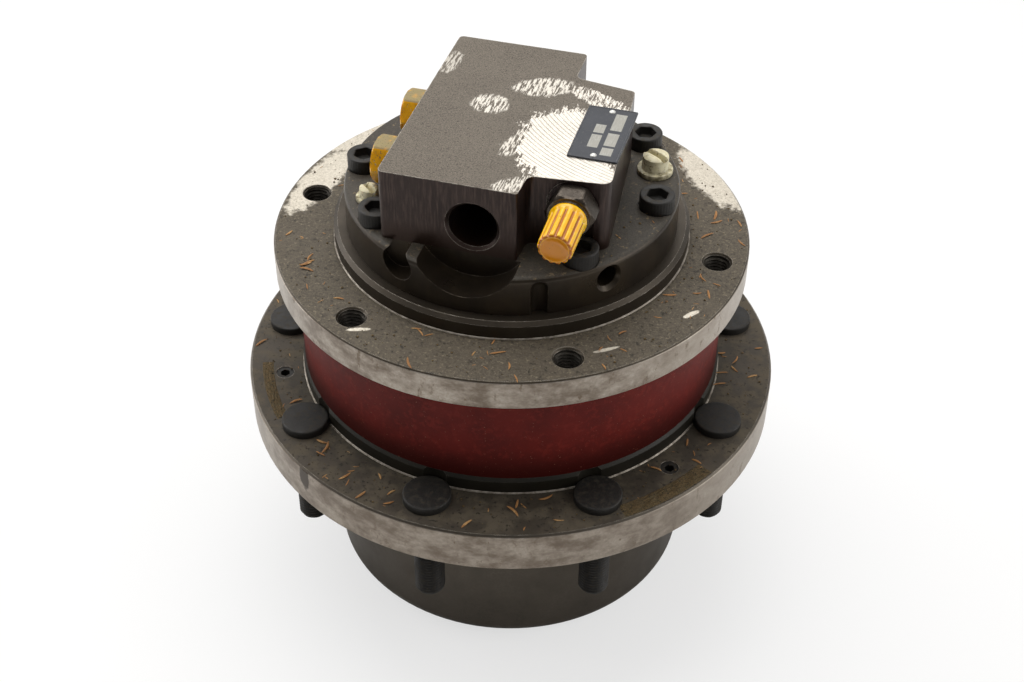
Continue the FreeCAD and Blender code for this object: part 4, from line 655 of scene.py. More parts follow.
def make_piece(name, part, material, body, replaces=(), sharp_degrees=32.0):
    """Puts a surface into a named piece that rides on a body."""
    points, faces = part
    mesh = bpy.data.meshes.new(name)
    mesh.from_pydata(points.tolist(), [], faces)
    mesh.polygons.foreach_set("use_smooth", np.ones(len(faces), bool))
    mesh.set_sharp_from_angle(angle=math.radians(sharp_degrees))
    mesh.materials.append(material)
    mesh.update()
    piece = bpy.data.objects.new(name, mesh)
    bpy.context.scene.collection.objects.link(piece)
    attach(piece, body)
    if replaces:
        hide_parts(*replaces)
    return piece


def circle(count):
    """Even turns round a full circle, in radians."""
    return np.linspace(0.0, 2.0 * math.pi, count, endpoint=False)


def turned_rows(profile, count):
    """Points of a turned shape: each profile point (radius, height) sweeps a full circle."""
    profile = np.asarray(profile, float)
    angle = circle(count)
    radius, height = profile[:, :1], profile[:, 1:2]
    return np.stack([radius * np.cos(angle), radius * np.sin(angle),
                     np.broadcast_to(height, (len(profile), count))], axis=-1)


def on_circle(radius, degrees, height):
    """Placement on a circle about Z, the angle counted from -Y towards +X."""
    turn = Matrix.Rotation(math.radians(degrees), 4, "Z")
    return turn @ Matrix.Translation((0.0, -radius, height))


def saw(phase):
    """Height of a V-thread over one turn, 0 at its root and 1 at its crest."""
    return 1.0 - np.abs(2.0 * (phase - np.floor(phase)) - 1.0)


def hexagon_radius(angle, across_flats, corner_radius=0.0):
    """Distance from a hexagon's middle to its outline, its corners cut back to a circle."""
    sector = np.mod(angle, math.pi / 3) - math.pi / 6
    radius = across_flats / 2 / np.cos(sector)
    limit = across_flats / 2 / math.cos(math.pi / 6) - corner_radius
    return np.minimum(radius, limit)


# ---------------------------------------------------------------- fittings
def stud_part(sizes):
    """Wheel stud about Z: turned head, plain shank, and a helical V-thread on its tail.

    Radius = profile radius less the thread depth times a saw wave of height over pitch less turn.
    """
    count = 40
    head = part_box("wheel_studs")[1].z
    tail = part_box("wheel_studs")[0].z
    head_radius, shank = STUD_HEAD_RADIUS, MOUNTS["sprocket_studs"]["dims"]["stud_r_mm"] * MM
    edge = 0.9 * MM
    bend = np.linspace(0.0, math.pi / 2, 5)
    crown = [(r * head_radius, head - 0.25 * MM * r ** 4) for r in (0.12, 0.5, 0.8, 0.9)]
    lip = [(head_radius - edge + edge * math.sin(b), head - 0.2 * MM - edge + edge * math.cos(b))
           for b in bend]
    pressed = shank + STUD_SHANK_EXTRA
    foot = [(head_radius, FLANGE_TOP + 0.02 * MM), (pressed, FLANGE_TOP), (pressed, FLANGE_LOW),
            (shank, FLANGE_LOW)]
    fixed = np.array(crown + lip + foot)
    pitch, depth = sizes.stud_pitch, sizes.stud_pitch * 0.52
    heights = np.arange(FLANGE_LOW - 0.3 * MM, tail, -pitch / 8)
    heights = np.append(heights, tail)
    base = shank - np.clip(tail + STUD_TIP - heights, 0, None)
    taper = np.clip((FLANGE_LOW - heights) / (2 * pitch), 0, 1)
    angle = circle(count)
    profile = np.concatenate([fixed, np.stack([base, heights], axis=1)])
    rows = turned_rows(profile, count)
    phase = heights[:, None] / pitch - angle[None, :] / (2 * math.pi)
    cut = depth * taper[:, None] * (1.0 - saw(phase))
    cut = np.minimum(cut, base[:, None] - 0.3 * shank)
    thread = base[:, None] - cut
    rows[len(fixed):, :, 0] = thread * np.cos(angle)
    rows[len(fixed):, :, 1] = thread * np.sin(angle)
    return shell(rows, (0, 0, head), (0, 0, tail))


def hole_thread_part(radius, low, high, pitch):
    """Sleeve that lines a hole: plain outside, helical V-thread inside.

    Inner radius = hole radius less the thread depth times a saw wave of height over pitch less turn.
    """
    count = 40
    heights = np.arange(low, high, pitch / 8)
    angle = circle(count)
    depth = 0.55 * pitch
    phase = heights[:, None] / pitch - angle[None, :] / (2 * math.pi)
    ends = np.clip(np.minimum(heights - low, high - heights) / pitch, 0, 1)
    inner = radius - 0.03 * MM - depth * (0.08 + 0.92 * saw(phase) * ends[:, None])
    inside = np.stack([inner * np.cos(angle), inner * np.sin(angle),
                       np.broadcast_to(heights[:, None], inner.shape)], axis=-1)
    outside = turned_rows([(radius - 0.01 * MM, heights[-1]), (radius - 0.01 * MM, heights[0])], count)
    return shell(np.concatenate([inside, outside]), ring=True)


def socket_screw_part(head_radius, head, socket, chamfer, count=144, knurls=36):
    """Cap screw head: hexagon socket, rounded top edge, and straight knurling round its side."""
    angle = circle(count)
    inner = hexagon_radius(angle, socket, 0.2 * MM)
    floor = head * 0.42
    knurl = 0.14 * MM * np.abs(np.sin(angle * knurls / 2))
    rings = [(inner * 0.15, floor - 0.6 * MM), (inner * 0.97, floor), (inner, floor + 0.3 * MM),
             (inner, head - 0.4 * MM), (inner + 0.5 * MM, head)]
    rings += [(np.full(count, head_radius - chamfer * 1.6), head)]
    bend = np.linspace(0.0, math.pi / 2, 5)
    rings += [(np.full(count, head_radius - chamfer + chamfer * math.sin(b)),
               head - chamfer + chamfer * math.cos(b)) for b in bend]
    rings += [(head_radius - knurl, head - chamfer * 1.8), (head_radius - knurl, chamfer * 1.2),
              (np.full(count, head_radius - 0.2 * MM), 0.0)]
    radius = np.stack([np.broadcast_to(r, (count,)) for r, _ in rings])
    height = np.array([h for _, h in rings])[:, None]
    rows = np.stack([radius * np.cos(angle), radius * np.sin(angle),
                     np.broadcast_to(height, radius.shape)], axis=-1)
    return shell(rows, (0, 0, floor - 0.8 * MM), (0, 0, 0))


def hexagon_part(stations, across_flats, count=96):
    """Turned hexagon bar: at each station (height, circle radius) the outline is the smaller of both."""
    angle = circle(count)
    outline = hexagon_radius(angle, across_flats, 0.15 * MM)
    height = np.array([h for h, _ in stations])[:, None]
    limit = np.array([r for _, r in stations])[:, None]
    radius = np.minimum(outline[None, :], limit)
    rows = np.stack([radius * np.cos(angle), radius * np.sin(angle),
                     np.broadcast_to(height, radius.shape)], axis=-1)
    return shell(rows, (0, 0, stations[0][0]), (0, 0, stations[-1][0]))


def ribbed_cap_part(radius, length, lobes, depth):
    """Moulded cap along Z: rounded ribs on the side that fade out at the rim and over the end.

    Radius = body radius less the rib depth times a flattened cosine of the turn.
    """
    count = lobes * 12
    angle = circle(count)
    edge = 1.5 * MM
    bend = np.linspace(0.0, math.pi / 2, 7)
    stations = [(0.0, 1.0, 0.0), (0.6 * MM, 1.06, 0.0), (2.2 * MM, 1.06, 0.0), (3.0 * MM, 1.0, 0.4)]
    stations += [(h, 1.0 - 0.02 * h / length, 1.0) for h in np.linspace(4.0 * MM, length - edge, 12)]
    stations += [(length - edge + edge * math.sin(b), 0.98 - edge / radius * (1 - math.cos(b)),
                  math.cos(b) ** 0.5)
                 for b in bend[1:]]
    stations += [(length, 0.72, 0.0), (length - 0.5 * MM, 0.66, 0.0), (length - 0.5 * MM, 0.3, 0.0)]
    height = np.array([s[0] for s in stations])[:, None]
    share = np.array([s[1] for s in stations])[:, None]
    ribs = np.array([s[2] for s in stations])[:, None]
    groove = 0.5 - 0.5 * np.tanh(2.2 * np.cos(angle * lobes) + 0.8) / math.tanh(3.0)
    rows_radius = radius * share - depth * ribs * groove[None, :]
    rows = np.stack([rows_radius * np.cos(angle), rows_radius * np.sin(angle),
                     np.broadcast_to(height, rows_radius.shape)], axis=-1)
    return shell(rows, (0, 0, 0), (0, 0, length - 0.5 * MM))


def slotted_plug_part(flange, rim, crown, height, slot, count=64):
    """Moulded plug: polar height map with a round flange, a domed crown and a slot pressed across.

    Height over the middle = crown height less a smooth trench of the slot's width.
    """
    angle = circle(count)
    radii = np.concatenate([np.linspace(0.12, 0.98, 12) * crown, [crown, crown * 1.02]])
    dome = height - 0.12 * height * (radii / crown) ** 4
    dome[-2:] = [height * 0.8, rim + 0.3 * MM]
    across = radii[:, None] * np.sin(angle)[None, :]
    trench = 1.0 / (1.0 + np.exp((np.abs(across) - slot / 2) / (0.16 * MM)))
    depth = np.clip(height - rim - 1.0 * MM, 0, None) * (radii < crown * 0.999)
    top = dome[:, None] - depth[:, None] * trench
    side = [(crown * 1.06, rim), (flange - 0.7 * MM, rim), (flange - 0.2 * MM, rim - 0.2 * MM),
            (flange, rim - 0.7 * MM), (flange, 0.3 * MM), (flange - 0.3 * MM, 0.0)]
    cap = np.stack([radii[:, None] * np.cos(angle), radii[:, None] * np.sin(angle), top], axis=-1)
    rows = np.concatenate([cap, turned_rows(side, count)])
    middle = float(height - depth[0])
    return shell(rows, (0, 0, middle), (0, 0, 0))


def bead_part(radius, height, size, spans):
    """Small turned fillet in a corner: a quarter-round section swept along arcs about Z."""
    parts = []
    section = np.array([(0.0, 0.0), (1.0, 0.0), (0.45, 0.16), (0.16, 0.45), (0.0, 1.0)]) * size
    for start, end in spans:
        angle = np.radians(np.linspace(start, end, max(8, int(abs(end - start) * 1.5))))
        reach = radius - 0.02 * MM + section[None, :, 0]
        rows = np.stack([reach * np.sin(angle)[:, None], -reach * np.cos(angle)[:, None],
                         np.broadcast_to(height - 0.02 * MM + section[:, 1], (len(angle), len(section)))],
                        axis=-1)
        ends = rows[0].mean(axis=0), rows[-1].mean(axis=0)
        parts.append(shell(rows, *ends))
    return joined(parts)


def plate_part(lo, hi, corner, border):
    """Thin plate with rounded corners: a raised border round a slightly sunk field."""
    count = 80
    angle = circle(count)
    half = Vector(((hi.x - lo.x) / 2, (hi.y - lo.y) / 2))
    middle = (lo + hi) / 2

    def loop(inset, height):
        """Rounded rectangle: a point clipped to an inner box, plus a corner circle's radius that way.

        The tangent brings points along the straight sides; the turn gives the circle's direction.
        """
        rounding = max(corner - inset, 0.15 * MM)
        box_x, box_y = half.x - inset - rounding, half.y - inset - rounding
        x = np.clip(np.tan(np.pi / 4 * np.cos(angle) * 1.9) * half.x, -box_x, box_x)
        y = np.clip(np.tan(np.pi / 4 * np.sin(angle) * 1.9) * half.y, -box_y, box_y)
        return np.stack([middle.x + x + rounding * np.cos(angle), middle.y + y + rounding * np.sin(angle),
                         np.full(count, height)], axis=-1)

    rows = np.stack([loop(0.0, lo.z), loop(0.0, hi.z - 0.2 * MM), loop(0.2 * MM, hi.z),
                     loop(border, hi.z), loop(border + 0.2 * MM, hi.z - 0.2 * MM)])
    return shell(rows, (middle.x, middle.y, lo.z), (middle.x, middle.y, hi.z - 0.2 * MM))


def sliver_parts(centres, lengths, widths, turns, lifts, bends):
    """Wood slivers, all at once: a flat diamond section along a bent line, pointed at both ends."""
    along = np.array([-0.72, -0.3, 0.1, 0.5, 0.8])
    swell = np.sqrt(1.0 - along ** 2)
    around = circle(4)
    count = len(centres)
    x = np.broadcast_to((along[None, :, None] * lengths[:, None, None] / 2), (count, 5, 4))
    y = widths[:, None, None] / 2 * swell[None, :, None] * np.cos(around) \
        + bends[:, None, None] * (along ** 2)[None, :, None] * lengths[:, None, None] / 2
    z = widths[:, None, None] / 5 * swell[None, :, None] * np.sin(around) \
        + lifts[:, None, None] * (0.5 + 0.5 * along)[None, :, None] * lengths[:, None, None]
    rows = np.stack([x, y, z + widths[:, None, None] / 5], axis=-1)
    tips = np.stack([np.stack([side * lengths / 2, bends * lengths / 2,
                               widths / 5 + lifts * (0.5 + 0.5 * side) * lengths], axis=-1)
                     for side in (-1, 1)], axis=1)
    local = np.concatenate([rows.reshape(count, -1, 3), tips], axis=1)
    cos, sin = np.cos(turns)[:, None], np.sin(turns)[:, None]
    points = np.stack([cos * local[..., 0] - sin * local[..., 1],
                       sin * local[..., 0] + cos * local[..., 1], local[..., 2]], axis=-1)
    points = points + centres[:, None, :]
    _, faces = shell(rows[0], local[0, -2], local[0, -1])
    template = np.array([f + f[:1] if len(f) == 3 else f for f in faces])
    every = (template[None] + np.arange(count)[:, None, None] * local.shape[1]).reshape(-1, 4).tolist()
    return points.reshape(-1, 3), [f[:3] if f[0] == f[3] else f for f in every]


def crumb_parts(centres, sizes, turns):
    """Grit and soil crumbs: a squashed ball of three rings whose radius wobbles round each turn."""
    rise = np.array([0.25, 0.75, 1.3])
    ring = np.array([0.85, 1.0, 0.55])
    around = circle(6)
    count = len(centres)
    wobble = 1.0 + 0.25 * np.sin(3.0 * around[None, None, :] + turns[:, None, None] * 7.0
                                 + rise[None, :, None] * 5.0)
    radius = sizes[:, None, None] / 2 * ring[None, :, None] * wobble
    angle = around[None, None, :] + turns[:, None, None]
    height = np.broadcast_to(sizes[:, None, None] * 0.32 * rise[None, :, None], radius.shape)
    rows = np.stack([radius * np.cos(angle), radius * np.sin(angle), height], axis=-1)
    tips = np.stack([np.stack([sizes * 0, sizes * 0, level * sizes * 0.32], axis=-1)
                     for level in (0.0, 1.5)], axis=1)
    local = np.concatenate([rows.reshape(count, -1, 3), tips], axis=1)
    _, faces = shell(rows[0], local[0, -2], local[0, -1])
    points = local + centres[:, None, :]
    template = np.array([f + f[:1] if len(f) == 3 else f for f in faces])
    every = (template[None] + np.arange(count)[:, None, None] * local.shape[1]).reshape(-1, 4).tolist()
    return points.reshape(-1, 3), [f[:3] if f[0] == f[3] else f for f in every]


def soil_patch_part(first, last, inner, outer, level, height):
    """Caked soil on a flange: an arc-shaped mound, its height a fading product of uneven waves."""
    turn = np.linspace(0.0, 1.0, 70)
    across = np.linspace(0.0, 1.0, 26)
    t, a = np.meshgrid(turn, across, indexing="ij")
    fade = np.clip(np.sin(np.pi * t), 0, 1) ** 0.6 * np.clip(np.sin(np.pi * a), 0, 1) ** 0.6
    waves = 0.5 + 0.2 * np.sin(37 * t + 5 * a) + 0.18 * np.sin(61 * t * a + 3) \
        + 0.22 * np.sin(23 * a - 19 * t)
    lift = height * fade * np.clip(waves, 0.02, None)
    radius = inner + (outer - inner) * (a + 0.12 * np.sin(9 * t) * np.sin(np.pi * a))
    angle = np.radians(first + (last - first) * t)
    top = np.stack([radius * np.sin(angle), -radius * np.cos(angle), level + lift], axis=-1)
    under = top.copy()
    under[..., 2] = level - 0.02 * MM
    rows = np.concatenate([top, under[:, ::-1]], axis=1)
    return shell(rows, rows[0].mean(axis=0), rows[-1].mean(axis=0))


# ---------------------------------------------------------------- settings
class DriveSizes(bpy.types.PropertyGroup):
    """Sizes of the drive's fittings."""
    stud_pitch: bpy.props.FloatProperty(
        name="Stud thread pitch", description="Distance between turns of the wheel stud thread",
        default=2.0 * MM, unit="LENGTH")
    frame_hole_pitch: bpy.props.FloatProperty(
        name="Frame hole thread pitch", description="Distance between turns of the frame hole thread",
        default=2.0 * MM, unit="LENGTH")
    cap_ribs: bpy.props.IntProperty(
        name="Cap ribs", description="Number of grip ribs round the adapter cap", default=14)
    cap_rib_depth: bpy.props.FloatProperty(
        name="Cap rib depth", description="Depth of the grooves between the cap's ribs",
        default=1.1 * MM, unit="LENGTH")
    chips: bpy.props.IntProperty(
        name="Wood chips", description="Number of wood slivers lying on each of the two flanges", default=90)
    crumbs: bpy.props.IntProperty(
        name="Grit crumbs", description="Number of grit crumbs lying on each of the two flanges", default=420)


class DriveColours(bpy.types.PropertyGroup):
    """Main colours of the drive."""
    primer: bpy.props.FloatVectorProperty(
        name="Primer", description="Red primer on the hub's band", size=4, subtype="COLOR",
        default=linear("641209"), min=0.0, max=1.0)
    cap: bpy.props.FloatVectorProperty(
        name="Cap", description="Translucent yellow of the adapter cap", size=4, subtype="COLOR",
        default=linear("f2ae00"), min=0.0, max=1.0)
    black_steel: bpy.props.FloatVectorProperty(
        name="Black steel", description="Phosphate black of studs and screws", size=4, subtype="COLOR",
        default=linear("211f1c"), min=0.0, max=1.0)


# ---------------------------------------------------------------- operators
class DRIVE_OT_stage(bpy.types.Operator):
    """Camera, floor, soft lamps and white surroundings"""
    bl_idname = "drive.stage"
    bl_label = "Studio stage"

    def execute(self, context):
        scene = context.scene
        scene.view_settings.view_transform = "Standard"
        camera_data = bpy.data.cameras.new("drive_camera")
        camera_data.lens = CAMERA_LENS
        camera_data.sensor_width = CAMERA_SENSOR
        camera_data.clip_end = 50.0
        camera = bpy.data.objects.new("drive_camera", camera_data)
        scene.collection.objects.link(camera)
        turn, tilt, roll = (math.radians(degrees) for degrees in CAMERA_ANGLES)
        level = Vector((math.cos(turn), math.sin(turn), 0.0))
        upward = Vector((-math.sin(tilt) * math.sin(turn), math.sin(tilt) * math.cos(turn), math.cos(tilt)))
        right = math.cos(roll) * level + math.sin(roll) * upward
        up = math.cos(roll) * upward - math.sin(roll) * level
        axes = Matrix((right, up, right.cross(up))).transposed().to_4x4()
        camera.matrix_world = Matrix.Translation(Vector(CAMERA_PLACE) * MM) @ axes
        scene.camera = camera

        size = FLOOR_REACH
        floor_mesh = bpy.data.meshes.new("studio_floor")
        corners = [(-size, -size, 0), (size, -size, 0), (size, size, 0), (-size, size, 0)]
        floor_mesh.from_pydata(corners, [], [(0, 1, 2, 3)])
        floor = bpy.data.objects.new("studio_floor", floor_mesh)
        scene.collection.objects.link(floor)
        paper = bpy.data.materials.new("white_paper_floor")
        paper.use_nodes = True
        tree = paper.node_tree
        tree.nodes.clear()
        path = add(tree, "ShaderNodeLightPath").node
        lit = add(tree, "ShaderNodeBsdfDiffuse", None, {"Color": linear("e9e8e6")})
        glow = add(tree, "ShaderNodeEmission", None, {"Color": (1.0, 1.0, 1.0, 1.0), "Strength": 1.06})
        share = add(tree, "ShaderNodeMath", {"operation": "MULTIPLY"},
                    {0: path.outputs["Is Camera Ray"], 1: 0.62})
        mixed = add(tree, "ShaderNodeMixShader", None, {0: share, 1: lit, 2: glow})
        add(tree, "ShaderNodeOutputMaterial", None, {"Surface": mixed})
        floor_mesh.materials.append(paper)

        world = bpy.data.worlds.new("white_surroundings")
        scene.world = world
        world.use_nodes = True
        tree = world.node_tree
        tree.nodes.clear()
        path = add(tree, "ShaderNodeLightPath").node
        direction = add(tree, "ShaderNodeTexCoord", out="Generated")
        forward = add(tree, "ShaderNodeSeparateXYZ", None, {0: direction}, 1)
        # The side where the operator stands is darker than the white walls
        dim = add(tree, "ShaderNodeMapRange", {"interpolation_type": "SMOOTHSTEP"},
                  {"Value": forward, "From Min": -0.95, "From Max": -0.15, "To Min": 0.10, "To Max": 0.62})
        seen = add(tree, "ShaderNodeBackground", None, {"Color": (1, 1, 1, 1), "Strength": 1.0})
        light = add(tree, "ShaderNodeBackground", None, {"Color": (1, 1, 1, 1), "Strength": dim})
        mixed = add(tree, "ShaderNodeMixShader", None,
                    {0: path.outputs["Is Camera Ray"], 1: light, 2: seen})
        add(tree, "ShaderNodeOutputWorld", None, {"Surface": mixed})

        for name, place, aim, width, power in SOFTBOXES:
            lamp = bpy.data.lights.new(name, "AREA")
            lamp.shape = "SQUARE"
            lamp.size = width
            lamp.energy = power
            holder = bpy.data.objects.new(name, lamp)
            scene.collection.objects.link(holder)
            direction = Vector(aim) - Vector(place)
            holder.location = place
            holder.rotation_euler = direction.to_track_quat("-Z", "Y").to_euler()
        return {"FINISHED"}


class DRIVE_OT_wheel_studs(bpy.types.Operator):
    """Nine pressed-in wheel studs with cut threads"""
    bl_idname = "drive.wheel_studs"
    bl_label = "Wheel studs"

    def execute(self, context):
        part = stud_part(context.scene.drive_sizes)
        places = [on_circle(STUD_CIRCLE, STUD_FIRST_ANGLE + 360.0 * i / STUD_COUNT, 0.0)
                  for i in range(STUD_COUNT)]
        make_piece("wheel_studs_threaded", repeated(part, places), finish("blackened_steel"), "hub",
                   ["wheel_studs"])
        return {"FINISHED"}


class DRIVE_OT_frame_threads(bpy.types.Operator):
    """Threads in the six frame holes"""
    bl_idname = "drive.frame_threads"
    bl_label = "Hole threads"

    def execute(self, context):
        radius = MOUNTS["frame_bolts"]["dims"]["hole_r_mm"] * MM
        pitch = context.scene.drive_sizes.frame_hole_pitch
        part = hole_thread_part(radius, FRAME_LOW + 0.3 * MM, FRAME_FACE - 1.0 * MM, pitch)
        places = [on_circle(FRAME_HOLE_CIRCLE, FRAME_HOLE_FIRST_ANGLE + 360.0 * i / FRAME_HOLE_COUNT, 0.0)
                  for i in range(FRAME_HOLE_COUNT)]
        make_piece("frame_hole_threads", repeated(part, places), finish("cut_thread_steel"), "housing")
        return {"FINISHED"}


class DRIVE_OT_cover_screws(bpy.types.Operator):
    """Socket-head screws that hold the motor cover"""
    bl_idname = "drive.cover_screws"
    bl_label = "Cover screws"

    def execute(self, context):
        part = socket_screw_part(**COVER_SCREW_HEAD)
        places = [on_circle(COVER_SCREW_CIRCLE, angle, DECK - COVER_SCREW_SEAT)
                  for angle in COVER_SCREW_ANGLES]
        make_piece("motor_cover_screw_heads", repeated(part, places), finish("blackened_steel"), "housing",
                   ["motor_cover_screws"], 40.0)
        return {"FINISHED"}


class DRIVE_OT_adapter(bpy.types.Operator):
    """Pilot adapter and its ribbed transport cap"""
    bl_idname = "drive.adapter"
    bl_label = "Adapter and cap"

    def execute(self, context):
        sizes = context.scene.drive_sizes
        nut_lo, nut_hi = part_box("pilot_adapter")
        cap_lo, cap_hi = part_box("pilot_adapter_cap")
        centre = (cap_lo + cap_hi) / 2
        face = nut_hi.y - ADAPTER_SEAT_LENGTH
        forward = Matrix.Rotation(math.radians(90.0), 4, "X")
        corner, length, thread = HEX_CORNER_RADIUS, ADAPTER_HEX_LENGTH, ADAPTER_THREAD_RADIUS
        stations = [(-THREAD_REACH, thread), (0.0, thread), (0.0, corner - 1.2 * MM),
                    (0.5 * MM, corner - 0.5 * MM), (1.2 * MM, corner), (length - 1.6 * MM, corner),
                    (length - 0.8 * MM, corner - 0.8 * MM), (length, corner - 2.0 * MM),
                    (length, 9.4 * MM), (length + 0.8 * MM, 9.2 * MM), (length + 0.8 * MM, 6.4 * MM),
                    (face - nut_lo.y, 6.0 * MM)]
        nut = hexagon_part(stations, HEX_FLATS)
        nut_place = Matrix.Translation((centre.x, face, centre.z)) @ forward
        make_piece("pilot_adapter_nut", repeated(nut, [nut_place]), finish("machined_adapter_steel"),
                   "housing", ["pilot_adapter"])
        cap = ribbed_cap_part(CAP_RADIUS, cap_hi.y - cap_lo.y, sizes.cap_ribs, sizes.cap_rib_depth)
        cap_place = Matrix.Translation((centre.x, cap_hi.y, centre.z)) @ forward
        make_piece("pilot_adapter_ribbed_cap", repeated(cap, [cap_place]), finish("moulded_yellow_plastic"),
                   "housing", ["pilot_adapter_cap"], 50.0)
        return {"FINISHED"}


class DRIVE_OT_side_plugs(bpy.types.Operator):
    """Hexagonal plastic plugs in the block's left side"""
    bl_idname = "drive.side_plugs"
    bl_label = "Side plugs"

    def execute(self, context):
        lo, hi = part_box("side_port_plugs")
        length, corner, thread = SIDE_PLUG_LENGTH, HEX_CORNER_RADIUS, SIDE_PLUG_THREAD_RADIUS
        stations = [(-THREAD_REACH, thread), (0.0, thread), (0.0, corner - 0.6 * MM), (0.6 * MM, corner)]
        stations += [(length - 2.0 * MM, corner), (length - 1.2 * MM, corner - 0.5 * MM),
                     (length - 0.4 * MM, corner - 1.4 * MM), (length, corner - 2.6 * MM),
                     (length, corner - 4.5 * MM), (length - 0.7 * MM, corner - 5.2 * MM)]
        plug = hexagon_part(stations, HEX_FLATS)
        sideways = Matrix.Rotation(math.radians(-90.0), 4, "Y")
        spin = Matrix.Rotation(math.radians(30.0), 4, "Z")
        height = (lo.z + hi.z) / 2
        places = [Matrix.Translation((lo.x + length, y, height)) @ sideways @ spin
                  for y in SIDE_PLUG_PLACES]
        make_piece("side_plugs_moulded", repeated(plug, places), finish("soiled_yellow_plastic"), "housing",
                   ["side_port_plugs"])
        return {"FINISHED"}


class DRIVE_OT_drain_plugs(bpy.types.Operator):
    """Slotted cream plugs on the cover's deck"""
    bl_idname = "drive.drain_plugs"
    bl_label = "Drain plugs"

    def execute(self, context):
        parts = [repeated(slotted_plug_part(*shape),
                          [on_circle(radius, degrees, DECK) @ Matrix.Rotation(slot_turn, 4, "Z")])
                 for (radius, degrees, slot_turn), shape in DECK_PLUGS]
        make_piece("drain_plugs_moulded", joined(parts), finish("soiled_cream_plastic"), "housing",
                   ["drain_port_plugs"], 45.0)
        return {"FINISHED"}


class DRIVE_OT_nameplate(bpy.types.Operator):
    """Blank plate and its two rivets"""
    bl_idname = "drive.nameplate"
    bl_label = "Blank plate"

    def execute(self, context):
        lo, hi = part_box("nameplate")
        make_piece("blank_plate", plate_part(lo, hi, 1.2 * MM, 0.8 * MM), finish("anodised_plate"),
                   "housing", ["nameplate"], 25.0)
        rivet_lo, rivet_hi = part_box("nameplate_rivets")
        bend = np.linspace(0.05, 1.0, 7)
        dome = [(RIVET_RADIUS * b, rivet_hi.z - (rivet_hi.z - hi.z) * b ** 3) for b in bend]
        rows = turned_rows(dome + [(RIVET_RADIUS, hi.z - 0.3 * MM)], 28)
        rivet = shell(rows, (0, 0, rivet_hi.z), (0, 0, hi.z - 0.3 * MM))
        middle = (rivet_lo.x + rivet_hi.x) / 2
        places = [Matrix.Translation((middle, y, 0.0))
                  for y in (rivet_lo.y + RIVET_RADIUS, rivet_hi.y - RIVET_RADIUS)]
        make_piece("plate_rivets", repeated(rivet, places), finish("drawn_aluminium"), "housing",
                   ["nameplate_rivets"])
        return {"FINISHED"}


class DRIVE_OT_corner_beads(bpy.types.Operator):
    """Bright turned fillets at the foot of the hub's step and of the pilot ring"""
    bl_idname = "drive.corner_beads"
    bl_label = "Turned fillets"

    def execute(self, context):
        gap = 3.6
        pitch = 360.0 / STUD_COUNT
        spans = [(STUD_FIRST_ANGLE + i * pitch + gap, STUD_FIRST_ANGLE + (i + 1) * pitch - gap)
                 for i in range(STUD_COUNT)]
        make_piece("step_foot_fillet", bead_part(STEP_RADIUS, FLANGE_TOP, 0.8 * MM, spans),
                   finish("bright_turned_iron"), "hub", (), 60.0)
        halves = [(0.0, 180.0), (180.0, 360.0)]
        make_piece("pilot_foot_fillet", bead_part(PILOT_RADIUS, FRAME_FACE, 0.7 * MM, halves),
                   finish("bright_turned_iron"), "housing", (), 60.0)
        return {"FINISHED"}


